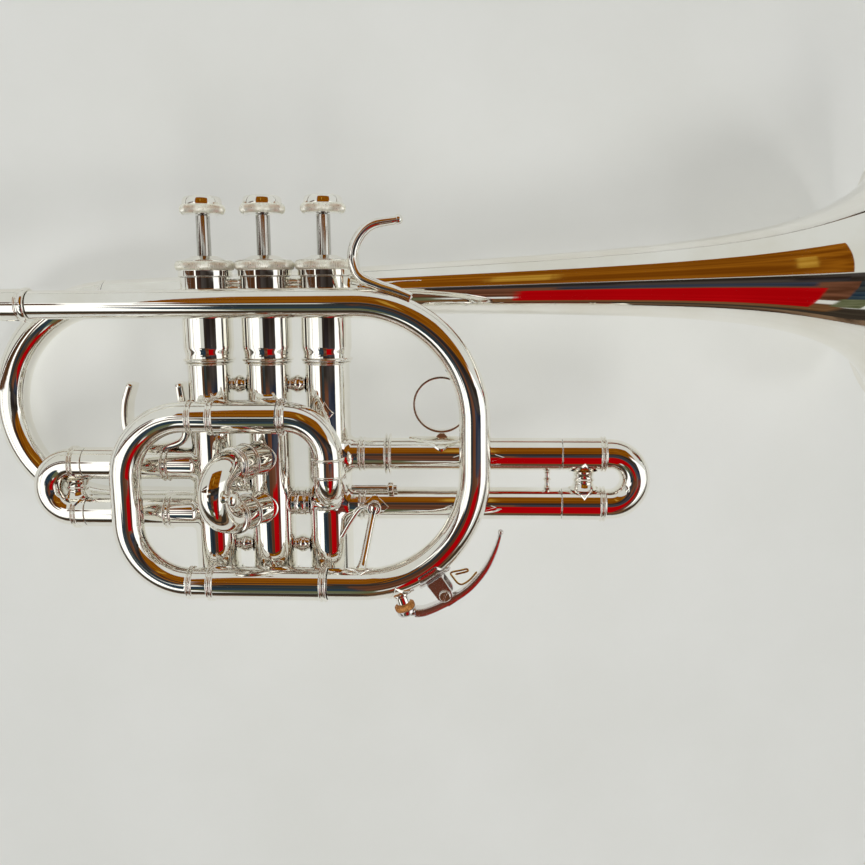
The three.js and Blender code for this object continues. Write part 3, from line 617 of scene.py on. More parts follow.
MATERIALS = {
    "silver": silver_material("polished silver"),
    "worn_silver": silver_material("handled silver", 0.14, (0.70, 0.67, 0.66), (0.86, 0.84, 0.82)),
    "knurled": knurled_material(),
    "monel": lapped_metal("monel", (0.40, 0.385, 0.355), (0.55, 0.535, 0.50), 0.26),
    "nickel": silver_material("nickel", 0.05, (0.50, 0.485, 0.45), (0.60, 0.59, 0.555)),
    "spring": lapped_metal("spring steel", (0.28, 0.28, 0.28), (0.45, 0.45, 0.45), 0.3),
    "brass": lapped_metal("brass wire", (0.50, 0.29, 0.07), (0.72, 0.47, 0.15), 0.22),
    "nylon": nylon_material(),
    "felt": felt_material(),
    "cork": cork_material(),
}

# --- Pieces ---
BODY_OF = {node: body for body, nodes in frame["record"]["behaviour"]["bodies"].items() for node in nodes}


def piece(node, *shapes, material="silver", trim=None, place=None):
    """Makes the fine piece that stands for a CAD node. Trim is a shape and the name of its material."""
    main = joined(*shapes)
    parts = joined(main, trim[0]) if trim else main
    matrix = INSTRUMENT @ place if place else INSTRUMENT
    mesh = bpy.data.meshes.new(f"{node}_fine")
    mesh.from_pydata([matrix @ point for point in parts[0]], [], parts[1])
    mesh.materials.append(MATERIALS[material])
    if trim:
        mesh.materials.append(MATERIALS[trim[1]])
        for polygon in mesh.polygons[len(main[1]):]:
            polygon.material_index = 1
    tidy_mesh(mesh)
    thing = add_object(f"{node}_fine", mesh)
    weights = thing.modifiers.new("weights", "WEIGHTED_NORMAL")
    weights.keep_sharp = True
    weights.weight = 80
    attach(thing, BODY_OF[node])
    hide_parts(node)


def tidy_mesh(mesh):
    """Welds the mesh, turns its faces outwards and keeps its real edges sharp."""
    work = bmesh.new()
    work.from_mesh(mesh)
    bmesh.ops.remove_doubles(work, verts=work.verts, dist=2e-6)
    bmesh.ops.dissolve_degenerate(work, edges=work.edges, dist=1e-6)
    bmesh.ops.recalc_face_normals(work, faces=work.faces)
    sharp = math.radians(SHARP_EDGE)
    for face in work.faces:
        face.smooth = True
    for edge in work.edges:
        edge.smooth = not edge.is_manifold or edge.calc_face_angle(0.0) < sharp
    work.to_mesh(mesh)
    work.free()


def carried(prefix, material):
    """Gives the CAD nodes of one kind their finish."""
    for name, thing in frame["nodes"].items():
        if name.startswith(prefix):
            thing.data.materials.clear()
            thing.data.materials.append(MATERIALS[material])


# --- valves ---


def casing(number):
    x = valve_x(number)
    step_angles = [math.pi * k / 8 for k in range(9)]
    waist = [(UPPER_CASING_RADIUS - 0.31 * (1 - math.cos(a)), 37.4 - 3.6 * a / math.pi) for a in step_angles]
    ring = [(radius, height) for height, radius in reversed(bead(31.9, 1.5, 11.05, 10.05))]
    lip = [(radius, height) for height, radius in reversed(bead(30.5, 1.0, 10.35, LOWER_CASING_RADIUS))]
    shell = turned([
        (COLLAR_RADIUS, CASING_TOP), (COLLAR_RADIUS, CASING_TOP - 3.6),
        (UPPER_CASING_RADIUS, CASING_TOP - 3.6), *waist, *ring, *lip,
        (LOWER_CASING_RADIUS, CASING_BOTTOM), (CASING_BORE, CASING_BOTTOM),
        (CASING_BORE, CASING_LEDGE), (GUIDE_BORE, CASING_LEDGE), (GUIDE_BORE, CASING_TOP),
    ], (x, 0, 0), sides=72)
    braces = casing_braces() if number == 2 else []
    piece(f"casing_{number}", shell, *braces)


def casing_braces():
    """The braces on both sides of the middle casing: two stout ones and a pair of thin ones on each side."""
    braces = []
    for side in (-1, 1):
        for radius, heights, sizes in (
            (LOWER_CASING_RADIUS, CASING_BRACE_HEIGHTS, (2.4, 4.4, 4.1, 0.32, 10)),
            (UPPER_CASING_RADIUS, (62.0, 64.6), (1.1, 1.5)),
        ):
            near, far = side * (radius - 0.5), side * (VALVE_PITCH - radius + 0.4)
            braces += [baluster((near, height, 0), (far, height, 0), *sizes) for height in heights]
    return braces


def knurled_ring(x, inside, outside, low, high, drop):
    """A convex band of fine vertical teeth round a valve's axis."""
    shares = [k / 10 for k in range(11)]
    face = [(outside - drop * abs(2 * share - 1) ** 2.6, low + (high - low) * share) for share in shares]
    teeth = (low - 0.1, high + 0.1, 0.2)
    return turned([(inside, low), *face, (inside, high)], (x, 0, 0), sides=200, knurls=[teeth])


def top_cap(number):
    x = valve_x(number)
    crown = [(11.5, 73.4), (10.9, 73.6), (8.9, 73.7), (8.6, 73.9), (5.5, 75.3), (3.3, 75.4)]
    skirt = [(10.8, 66.9), (11.3, 66.9), (11.3, 69.3), (11.4, 69.5)]
    cap = turned([*skirt, *crown, (3.3, 71.8), (10.8, 71.3)], (x, 0, 0))
    rim = knurled_ring(x, 11.0, 12.45, 69.4, 73.2, 0.9)
    piece(f"top_cap_{number}", cap, trim=(rim, "knurled"))


def bottom_cap(number):
    x = valve_x(number)
    skirt = [(9.8, -61.5), (10.6, -61.6), (10.6, -66.6), (10.4, -67.4), (10.1, -68.6)]
    bowl = [(9.4, -70.6), (7.5, -71.7), (5, -72.2), (2, -72.2), (2, -70.6), (9.8, -69.6)]
    cap = turned([*skirt, *bowl], (x, 0, 0))
    rim = knurled_ring(x, 10.2, 11.35, -66.5, -61.7, 0.5)
    piece(f"bottom_cap_{number}", cap, trim=(rim, "knurled"))


def button(number):
    x = valve_x(number)
    socket = [(0, 94.4), (2.1, 94.4), (2.1, 92.2), (4.0, 92.2), (6.6, 92.3), (8.2, 92.6), (8.2, 96.2)]
    side = [(8.25, 96.5), (8.2, 97.4), (8.0, 98.4), (7.5, 99.2)]
    top = [(6.7, 99.65), (5.2, 99.85), (2.6, 99.97), (0, 100)]
    body = turned([*socket, *side, *top], (x, 0, 0))
    band = knurled_ring(x, 7.9, 9.4, 92.45, 96.3, 1.0)
    piece(f"finger_button_{number}", body, trim=(band, "knurled"))


def stem(number):
    x = valve_x(number)
    outline = [(0, 67.1), (2, 67.1), (2, 68.6), (2.95, 68.6), (2.95, 91.9), (1.8, 91.9), (1.8, 94), (0, 94)]
    piece(f"stem_{number}", turned(outline, (x, 0, 0), sides=40), material="nickel")


def knuckle(name, height, left_x):
    route = Route((left_x + 8.8, height, 0), X).run(VALVE_PITCH - 17.6)
    length = route.length
    outside = [(0, 6.0), *bead(1.9, 0.9, 6.5, 6.0), *bead(length / 2, 3.4, 6.4, 6.0),
               *bead(length - 1.9, 0.9, 6.5, 6.0), (length, 6.0)]
    collars = [
        solder_collar(6.0, height, 180, left_x, 0.35),
        solder_collar(6.0, height, 0, left_x + VALVE_PITCH, 0.35),
    ]
    piece(name, pipe(route, outside, [(0, PORT_BORE), (length, PORT_BORE)]), *collars)


for valve_number in (1, 2, 3):
    casing(valve_number)
    top_cap(valve_number)
    bottom_cap(valve_number)
    button(valve_number)
    stem(valve_number)
knuckle("knuckle_1_2", KNUCKLE_12_Y, -VALVE_PITCH)
knuckle("knuckle_2_3", KNUCKLE_23_Y, 0)
carried("piston_", "monel")
carried("valve_spring_", "spring")
carried("valve_guide_", "nylon")
carried("stem_felt_", "felt")

# --- valve slides: built pointing to -X from the valve's axis, then turned about it ---
FIRST_PLACE = Matrix.Translation((-VALVE_PITCH, 0, 0))
SECOND_PLACE = Matrix.Rotation(math.radians(SECOND_SLIDE_TURN), 4, "Y")
THIRD_PLACE = Matrix.Translation((VALVE_PITCH, 0, 0)) @ Matrix.Rotation(math.pi, 4, "Y")


def slide_sleeve(slide, height, rings=(), flare=2.2):
    """A sleeve with rings, given as (distance from the valve's axis, height above the tube)."""
    start = LOWER_CASING_RADIUS - 0.7
    length = slide["joint"] - start
    route = Route((-start, height, 0), -X).run(length)
    outside = [(0, SLEEVE_RADIUS)]
    for distance, rise in rings:
        outside += bead(distance - start, 1.2, SLEEVE_RADIUS + rise, SLEEVE_RADIUS)
    outside.append((length, SLEEVE_RADIUS))
    tube = pipe(route, outside, [(0, SLEEVE_BORE), (length, SLEEVE_BORE)])
    return joined(tube, solder_collar(SLEEVE_RADIUS, height, flare=flare))


def valve_slide(slide):
    """Two legs, the ferrules that close on the sleeves, double rings and the round bow."""
    straight = slide["bow"] - slide["leg_end"]
    route = Route((-slide["leg_end"], slide["top"], 0), -X)
    route.run(straight).turn(LEG_SPACING / 2, 180, -Y).run(straight)
    near = slide["joint"] + 0.3 - slide["leg_end"]

    def leg(mirror):
        middle = slide["rings"] - slide["leg_end"]
        half = [(0, TUBE_RADIUS), (near, TUBE_RADIUS), (near, SLEEVE_RADIUS)]
        half += bead(middle - 0.7, 1.0, SLEEVE_RADIUS + 0.7, SLEEVE_RADIUS)
        half += bead(middle + 0.7, 1.0, SLEEVE_RADIUS + 0.7, SLEEVE_RADIUS)
        half.append((middle + 1.4, TUBE_RADIUS))
        return [(route.length - d, r) for d, r in reversed(half)] if mirror else half

    outside = leg(False) + leg(True)
    return pipe(route, outside, [(0, TUBE_BORE), (route.length, TUBE_BORE)])


def slide_brace(slide, distance):
    """The spool-shaped finger brace across a bow, on diamond feet that lie round the legs."""
    top, low = slide["top"], slide["top"] - LEG_SPACING
    middle = top - LEG_SPACING / 2
    reach = LEG_SPACING / 2 - SLEEVE_RADIUS + 0.3
    spool = turned(spool_outline(reach), (-distance, middle, 0), Y, 40)
    feet = [
        saddle_plate((-distance, height, 0), X, side * Y, SLEEVE_RADIUS, diamond(12.5, 16, 0.0), 0.8)
        for height, side in ((top, -1), (low, 1))
    ]
    return joined(spool, *feet)


def spool_outline(reach):
    """An hourglass with a bead round its waist."""
    steps = 32
    outline = [(0, -reach)]
    for k in range(steps + 1):
        place = 2 * k / steps - 1
        radius = 4.2 + 1.9 * abs(place) ** 2.4 + 0.7 * math.exp(-((place / 0.14) ** 2))
        outline.append((radius, reach * place))
    outline.append((0, reach))
    return outline


def sleeve_pair(name, slide, rings, flare, place):
    for level, height in (("upper", slide["top"]), ("lower", slide["top"] - LEG_SPACING)):
        piece(f"{name}_{level}", slide_sleeve(slide, height, rings, flare), place=place)


def first_slide():
    sleeve_pair("first_slide_sleeve", FIRST_SLIDE, ((19.8, 0.75), (22.0, 0.75)), 2.2, FIRST_PLACE)
    piece("first_slide", valve_slide(FIRST_SLIDE), slide_brace(FIRST_SLIDE, 62.1), place=FIRST_PLACE)


def second_slide():
    rings = ((SECOND_SLIDE["joint"] - 0.8, 0.75),)
    sleeve_pair("second_slide_sleeve", SECOND_SLIDE, rings, 0.4, SECOND_PLACE)
    middle = SECOND_SLIDE_Y - LEG_SPACING / 2
    tip = SECOND_SLIDE["bow"] + LEG_SPACING / 2
    neck = [(0, -0.8), (2.6, -0.8), (2.0, 0.2), (1.5, 1.2), (1.5, 2.6)]
    head = [(2.4, 3.1), (3.1, 3.8), (3.2, 4.6), (2.8, 5.5), (1.7, 6.1), (0, 6.25)]
    knob = turned([*neck, *head], (-tip, middle, TUBE_RADIUS - 0.2), Z, 40)
    piece("second_slide", valve_slide(SECOND_SLIDE), knob, place=SECOND_PLACE)


def third_slide():
    low = THIRD_SLIDE_Y - LEG_SPACING
    rings = ((13.6, 0.7), (15.4, 0.5))
    collar = ((24.9, 2.0), (26.6, 2.0))
    upper = slide_sleeve(THIRD_SLIDE, THIRD_SLIDE_Y, (*rings, *collar))
    lower = slide_sleeve(THIRD_SLIDE, low, rings)
    tie_top, tie_foot = THIRD_SLIDE_Y - SLEEVE_RADIUS + 0.3, low + SLEEVE_RADIUS - 0.3
    tie = baluster((-94, tie_top, 0), (-94, tie_foot, 0), 1.1, 2.4, 1.9)
    piece("third_slide_sleeves", upper, lower, tie, place=THIRD_PLACE)
    piece("third_slide", valve_slide(THIRD_SLIDE), slide_brace(THIRD_SLIDE, 109.5), place=THIRD_PLACE)


first_slide()
second_slide()
third_slide()

# --- mouthpipe, loop, tuning slide and elbow ---


def receiver():
    length = LEADPIPE_START - RECEIVER_END
    route = Route((RECEIVER_END, LEADPIPE_HEIGHT, FRONT_PLANE), X).run(length - 0.3)
    outside = [
        (0, 6.5), (0.5, 6.9), (2.4, 6.9), (3.2, 6.35), (length - 7, 6.6), (length - 4.2, 6.6),
        (length - 3.9, 6.1), (length - 3.1, 6.1), *bead(length - 1.7, 2.6, 7.1, 6.5), (length - 0.3, 6.2),
    ]
    bore = [(0, 5.3), (length - 18, 4.7), (length - 0.3, 4.7)]
    piece("mouthpiece_receiver", pipe(route, outside, bore))


def leadpipe_loop():
    route = Route((LEADPIPE_START, LEADPIPE_HEIGHT, FRONT_PLANE), X)
    bend = LOOP_CENTRE_X - LEADPIPE_START
    route.run(bend).turn(LOOP_RADIUS, 90, -Y).run(LOOP_STRAIGHT).turn(LOOP_RADIUS, 90, -X)
    route.run(LOOP_CENTRE_X - LOOP_END_X)
    outside = [(0, 5.85), (bend, 6), (route.length - 60, 6.6), (route.length, 6.6)]
    bore = [(0, 4.9), (bend, 5.1), (route.length - 60, 5.8), (route.length, TUBE_BORE)]
    seat = UPPER_CASING_RADIUS - 0.3
    posts = [post(x, LEADPIPE_HEIGHT, FRONT_PLANE - 5.5, seat, 1.9, 3.2) for x in (-VALVE_PITCH, VALVE_PITCH)]
    for y in (THIRD_SLIDE_Y, THIRD_SLIDE_Y - LEG_SPACING):
        drop = min(0.0, y - LOOP_LOW_CENTRE_Y)
        x = LOOP_CENTRE_X + math.sqrt(LOOP_RADIUS**2 - drop**2)
        posts.append(post(x, y, FRONT_PLANE - 6.0, SLEEVE_RADIUS - 0.3, 1.7, 2.6))
        posts.append(saddle_plate((x + 1.5, y, 0), X, Z, SLEEVE_RADIUS, diamond(22, 9), 0.6))
    piece("leadpipe_loop", pipe(route, outside, bore), *posts)


def tuning_sleeve(name, y, start, end, extras, rings=()):
    length = start - end
    route = Route((start, y, FRONT_PLANE), -X).run(length)
    outside = [(0, SLEEVE_RADIUS)]
    for ring in (*rings, length - 2.4, length - 0.7):
        outside += bead(ring, 1.2, SLEEVE_RADIUS + 0.7, SLEEVE_RADIUS)
    outside.append((length, SLEEVE_RADIUS))
    tube = pipe(route, outside, [(0, SLEEVE_BORE), (length, SLEEVE_BORE)])
    piece(name, tube, *extras)


def tuning_sleeves():
    upper_post = post(-VALVE_PITCH + 6.2, TUNING_TOP_Y, FRONT_PLANE - 6.7, 6.8, 1.5, 1.9)
    foot = saddle_plate((-VALVE_PITCH, TUNING_TOP_Y + 1, 0), Y, Z, LOWER_CASING_RADIUS, diamond(12, 9), 0.5)
    end = TUNING_SLEEVE_END + TUNING_UPPER_SHIFT
    tuning_sleeve("tuning_sleeve_upper", TUNING_TOP_Y, ELBOW_START - 0.3, end, [upper_post, foot])
    y = LOOP_LOW_Y + 2.5
    seat = LOWER_CASING_RADIUS - 0.5
    posts = [post(x, y, FRONT_PLANE - 6.3, seat, 1.4, 1.9) for x in (3 - VALVE_PITCH, VALVE_PITCH - 3)]
    tuning_sleeve("tuning_sleeve_lower", LOOP_LOW_Y, LOOP_END_X - 0.3, TUNING_SLEEVE_END, posts, (0.7, 2.5))


def inlet_elbow():
    corner, entry = 17.5, 9.0
    route = Route((ELBOW_START, TUNING_TOP_Y, FRONT_PLANE), X)
    route.run(ELBOW_X - ELBOW_START - corner).turn(corner, 90, -Y)
    route.run(TUNING_TOP_Y - corner - INLET_Y - entry).turn(entry, 90, -Z)
    route.run(FRONT_PLANE - entry - LOWER_CASING_RADIUS + 0.8)
    ferrule = route.legs[2][0]
    outside = [
        (0, 7.0), *bead(0.8, 1.1, 7.7, 7.0), *bead(2.3, 1.1, 7.7, 7.0), (3.1, 6.2), (ferrule - 0.4, 6.2),
        *bead(ferrule + 0.1, 0.8, 6.95, 6.6), (ferrule + 0.8, 6.6), (ferrule + 6.6, 6.6),
        *bead(ferrule + 7.1, 0.8, 6.95, 6.6), (ferrule + 7.6, 6.2), (route.length, 6.2),
    ]
    collar = solder_collar(6.2, INLET_Y, 90, VALVE_PITCH, 3.4)
    brace = saddle_plate((VALVE_PITCH, TUNING_TOP_Y, 0), Y, Z, LOWER_CASING_RADIUS, diamond(10, 8), 0.35)
    piece("inlet_elbow", pipe(route, outside, [(0, TUBE_BORE), (route.length, PORT_BORE)]), collar, brace)


def tuning_slide():
    straight = -TUNING_BOW_X
    drop = TUNING_TOP_Y - LOOP_LOW_Y
    route = Route((0, TUNING_TOP_Y, FRONT_PLANE), -X)
    route.run(straight).turn(TUNING_CORNER, 90, -Y).run(drop - 2 * TUNING_CORNER)
    route.turn(TUNING_CORNER, 90, X).run(straight)

    def half(shift):
        rings = [bead(straight + place - shift, 1.0, 7.15, TUBE_RADIUS) for place in (-0.9, 0.6)]
        return [(0, TUBE_RADIUS), *rings[0], *rings[1]]

    outside = half(TUNING_UPPER_SHIFT) + [(route.length - d, r) for d, r in reversed(half(0))]
    piece("tuning_slide", pipe(route, outside, [(0, TUBE_BORE), (route.length, TUBE_BORE)]))


receiver()
leadpipe_loop()
tuning_sleeves()
inlet_elbow()
tuning_slide()

# --- bell and crook ---


def bell_radius(x):
    return BELL_TAIL_RADIUS + BELL_TAPER * (x - BELL_TAIL) + FLARE_SCALE / (BELL_RIM_X + FLARE_POLE - x) ** 2


def bell():
    length = BELL_RIM_X - BELL_TAIL
    route = Route((BELL_TAIL, BELL_AXIS_Y + BELL_RISE * BELL_TAIL, BELL_Z), (1, BELL_RISE, 0)).run(length)
    stations = [length * (1 - (1 - k / 90) ** 1.7) for k in range(91)]
    rim = bell_radius(BELL_RIM_X) - 0.35
    wall = [(d, bell_radius(BELL_TAIL + d)) for d in stations if d < length - 2.0]
    roll = [
        (length - 0.9 - 0.9 * math.cos(math.pi * k / 8), rim - 1.0 + 1.0 * math.sin(math.pi * k / 8))
        for k in range(9)
    ]
    bore = [(d, r - BELL_WALL) for d, r in wall] + [(length, rim - BELL_WALL - 0.3)]
    shell = sweep(route, wall + roll + list(reversed(bore)), BELL_SIDES)
    seat = 0.4 - UPPER_CASING_RADIUS
    posts = [
        post(x, BELL_AXIS_Y, BELL_Z + bell_radius(x) - 0.5, seat, 1.9, 3.2)
        for x in (-VALVE_PITCH, VALVE_PITCH)
    ]
    piece("bell", shell, *posts)


def bell_crook():
    top = Vector((BELL_TAIL - 0.3, BELL_AXIS_Y + BELL_RISE * BELL_TAIL, BELL_Z))
    across = Vector((0, OUTLET_Y - top.y, CROOK_END_Z - BELL_Z))
    radius, entry = across.length / 2, 11.0
    route = Route(top, -X)
    route.turn(radius, 180, across.normalized()).run(-VALVE_PITCH - entry - top.x)
    route.turn(entry, 90, Z).run(-CROOK_END_Z - entry - LOWER_CASING_RADIUS + 0.8)
    bend = math.pi * radius
    outside = [(0, 8.0), *bead(0.9, 1.2, 8.3, 8.0), (3.2, 8.0), (3.4, 7.8), (bend, 6.4), (route.length, 6.1)]
    bore = [(0, 7), (bend, 5.7), (route.length, PORT_BORE)]
    collar = solder_collar(6.1, OUTLET_Y, -90, -VALVE_PITCH, 2.0)
    piece("bell_crook", pipe(route, outside, bore), collar)


bell()
bell_crook()

# --- fittings ---


def finger_hook():
    seat = LOOP_RADIUS + 7.2
    line = [
        (58, 88, 0), (48, 86.2, 0), (42.4, 81, 0), (40.2, 74, 0), (42.4, 66.6, 0),
        around_loop(seat + 0.6, 9.5, True) - FRONT_PLANE * Z,
        around_loop(seat, 17, True) - FRONT_PLANE * Z,
        around_loop(seat, 25, True) - FRONT_PLANE * Z,
    ]
    line = [Vector(point) + FRONT_PLANE * Z for point in line]
    hook = ribbon(line, lambda share: 3.4 + 4.8 * share * (0.95 - share), 6.4, steps=110, squareness=2.4)
    tip = ball((58.3, 88.2, FRONT_PLANE), 2.0)
    piece("finger_hook", hook, tip)


def finger_ring():
    centre = Vector((74.1, 12.4, 0))
    section = [(12.1, -2.3), (12.2, 0), (12.1, 2.3), (11.1, 2.3), (10.95, 0), (11.1, -2.3)]
    hoop = turned(section, centre, Z, 96)
    seat = THIRD_SLIDE_Y + SLEEVE_RADIUS
    neck = plate([(-2.6, 0), (3.0, 0), (1.6, 2.0), (-1.2, 2.0)], 0, 3.4)
    neck = moved(neck, Matrix.Translation((centre.x, seat + 0.3, 0)))
    foot = saddle_plate((centre.x, THIRD_SLIDE_Y, 0), X, Y, SLEEVE_RADIUS + 0.05, diamond(28, 18, 0.02), 0.8)
    piece("finger_ring", hoop, neck, foot)


def thumb_saddle():
    seat = FIRST_SLIDE_Y + SLEEVE_RADIUS + 1.4
    line = [
        (-59.4, 22.4, 0), (-62.6, 12, 0), (-62.2, 0.5, 0), (-55, seat, 0), (-44, seat, 0),
        (-37, -1.2, 0), (-37.4, 10, 0), (-38.6, 22.6, 0),
    ]
    cradle = ribbon(line, 3.4, 8.8, steps=110, squareness=5.0)
    foot = saddle_plate((-49.5, FIRST_SLIDE_Y, 0), X, Y, SLEEVE_RADIUS + 0.05, diamond(17, 10), 1.0)
    stub = rod((-49.5, seat - 1.8, 0), (-49.5, seat, 0), 2.6)
    piece("thumb_saddle", cradle, foot, stub)


def loop_brace():
    """A boss with a hollow face on the third slide, an arm down to the loop and a strut to the casing."""
    low = THIRD_SLIDE_Y - LEG_SPACING
    boss = Vector((45.5, low, SLEEVE_RADIUS + 2.4))
    foot = Vector((41, LOOP_LOW_Y + 6.6, FRONT_PLANE - 0.6))
    side = [(0, -2.6), (3.0, -2.6), (2.7, -1.2), (3.0, 0), (3.2, 0.8), (2.8, 1.5)]
    hollow = [(2.0, 1.6), (1.5, 0.9), (1.2, 0.2), (0, 0)]
    head = turned([*side, *hollow], boss, Z, 40)
    flange = saddle_plate((45.5, low, 0), X, Z, SLEEVE_RADIUS, diamond(12.5, 11, 0.0), 0.9)
    arm = baluster(boss - 0.9 * Z, foot, 1.65, 2.7, 0, 0.03, 7)
    base = saddle_plate((41, LOOP_LOW_Y, FRONT_PLANE), X, Y, 6.6, diamond(13, 9), 0.7)
    bend = [(30.7, low - 13.8, 7.6), (35.2, low - 6.2, 7.6), (39.4, low - 0.6, 8.0), (43.4, low, 8.6)]
    piece("loop_brace", head, flange, arm, base, wire(bend, 1.15))


def stop_rod():
    y = THIRD_SLIDE_Y - LEG_SPACING / 2 - 3
    body = rod((35.4, y, 5), (55, y, 5), 1.15)
    nut = turned([(0, 0), (2.0, 0), (2.4, 0.4), (2.4, 2.2), (2.0, 2.6), (0, 2.6)], (51, y, 5), X, 48)
    piece("stop_rod", body, nut)


finger_hook()
finger_ring()
thumb_saddle()
loop_brace()
stop_rod()

# --- water key ---


def stand_on_loop(outline, degrees, radius):
    foot = around_loop(radius, degrees)
    return turned(outline, foot, around_loop(radius + 1, degrees) - foot, 40)


def loop_frame(degrees, radius):
    """A matrix whose Y points away from the loop's bend at an angle, and whose X runs along the tube."""
    foot = around_loop(radius, degrees)
    out = (around_loop(radius + 1, degrees) - foot).normalized()
    along = out.cross(Z)
    return Matrix.Translation(foot) @ Matrix((along, out, Z)).transposed().to_4x4()


def flange_on_loop(degrees, outline):
    centre = around_loop(LOOP_RADIUS, degrees)
    out = around_loop(LOOP_RADIUS + 1, degrees) - centre
    return saddle_plate(centre, out.cross(Z), out, 6.6, outline, 0.8)


def screw_head(centre, radius, slot):
    """A low round head whose top is cut by a driver slot."""
    base = turned([(0, 0), (radius, 0), (radius + 0.1, 0.5), (radius, 0.7), (0, 0.7)], centre, Z, 40)
    reach = math.acos(slot / radius)
    halves = []
    for side in (0, math.pi):
        turn = Matrix.Rotation(side + math.radians(70), 4, "Z")
        angles = [reach * (k / 6 - 1) for k in range(13)]
        arc = [(radius * math.sin(a), radius * math.cos(a)) for a in angles]
        halves.append(moved(plate(arc, 0, 0.7), Matrix.Translation(Vector(centre) + 0.95 * Z) @ turn))
    return joined(base, *halves)


def nipple_and_cork():
    height = NIPPLE_TOP - NIPPLE_BASE
    outline = [(2, -0.4), (3.7, -0.4), (3.7, 0.5), (2.8, 0.9), (2.8, height), (2, height)]
    nipple = stand_on_loop(outline, KEY_NIPPLE_ANGLE, NIPPLE_BASE)
    piece("water_key_nipple", nipple, flange_on_loop(KEY_NIPPLE_ANGLE, diamond(12, 18, 0.05)))
    edge = [(4.3 - 0.25 * abs(2 * k / 8 - 1) ** 6, 0.05 + 2.3 * k / 8) for k in range(9)]
    cork = stand_on_loop([(0, 0), *edge, (0, 2.4)], KEY_NIPPLE_ANGLE, NIPPLE_TOP + 0.05)
    piece("water_key_cork", cork, material="cork")


def key_saddle():
    place = loop_frame(KEY_PIVOT_ANGLE, NIPPLE_BASE)
    pivot = KEY_PIVOT_RADIUS - NIPPLE_BASE
    angles = [math.radians(a) for a in range(0, 181, 30)]
    end = [(3.5 * math.cos(a), pivot - 0.2 + 3.0 * math.sin(a)) for a in angles]
    cheeks = [plate([(-3.6, -0.6), (3.6, -0.6), *end], side * 4.2, 1.3) for side in (-1, 1)]
    block = plate([(-3.8, -0.6), (3.8, -0.6), (3.8, 1.3), (-3.8, 1.3)], 0, 9.2)
    saddle = moved(joined(*cheeks, block), place)
    flange = flange_on_loop(KEY_PIVOT_ANGLE, [(-8, 0), (-4.4, 9), (4.4, 9), (8, 0), (4.4, -9), (-4.4, -9)])
    piece("water_key_saddle", saddle, flange, material="worn_silver")


def key_lever():
    sweep_of_arm = ((64.2, 20.6), (65.6, 25), (66.4, 34), (67.2, 43), (66.7, 52), (65.4, 60), (64.2, 66.5))
    line = [around_loop(radius, angle) for radius, angle in sweep_of_arm]
    thickness, width = (lambda share: 3.9 - 2.3 * share**1.5), (lambda share: 6.0 - 2.2 * share)
    arm = ribbon(line, thickness, width, 90, squareness=5.0)
    cup_outline = [(0, 0), (3.9, 0), (4.1, 0.3), (4.0, 1.6), (3.4, 2.5), (2.2, 3.0), (0, 3.0)]
    cup = stand_on_loop(cup_outline, KEY_NIPPLE_ANGLE, NIPPLE_TOP + 2.5)
    tongue = ribbon([around_loop(63.0, 17.5), around_loop(63.8, 19.5), around_loop(64.4, 21.5)], 2.2, 6.0, 16)
    centre = around_loop(KEY_PIVOT_RADIUS, KEY_PIVOT_ANGLE)
    barrel = turned([(1.3, -3.3), (2.4, -3.3), (2.4, 3.3), (1.3, 3.3)], centre, Z, 40)
    neck = plate([(-1.7, -2.4), (1.7, -2.4), (2.3, 2.5), (-2.3, 2.5)], 0, 5.0)
    neck = moved(neck, loop_frame(KEY_PIVOT_ANGLE, KEY_PIVOT_RADIUS + 3.1))
    tip = ball(around_loop(64.1, 66.8), 1.25)
    piece("water_key_lever", arm, cup, tongue, barrel, neck, tip, material="worn_silver")


def key_spring():
    """A hairpin: one leg lies along the lever, the other is bent back on itself beside the saddle."""
    long_leg = [(89.4, -55.6), (86.6, -59.0), (83.4, -61.2), (81.4, -60.8), (79.6, -58.6), (78.4, -56.8)]
    short_leg = [(79.2, -55.9), (82.4, -55.2), (85.0, -54.6), (85.6, -55.2), (84.8, -55.8), (80.2, -57.0)]
    line = [(x, y, FRONT_PLANE) for x, y in long_leg + short_leg]
    piece("water_key_spring", wire(line, 0.42, 120), material="brass")


def water_key():
    nipple_and_cork()
    key_saddle()
    centre = around_loop(KEY_PIVOT_RADIUS, KEY_PIVOT_ANGLE)
    shank = rod(centre - 5.6 * Z, centre + 5 * Z, 1.0)
    piece("water_key_screw", screw_head(centre + 4.9 * Z, 2.3, 0.32), shank)
    key_lever()
    key_spring()


water_key()

# --- Stage: a pale table, soft light and the room that the silver mirrors ---
ROOM = 2.5              # heights in metres of the reflectors
LAMP = 0.87
NEAR = 0.5
REFLECTOR_STEP = 0.0005
HORIZON_RADIUS = 1.7
TABLE_HALF = 1.0
MIRROR_SKY = 0.66       # the sky's strength as mirrors and the camera see it, and as it lights the table
TABLE_SKY = 0.14
SKY_COLOUR = (0.985, 1.0, 0.955, 1.0)
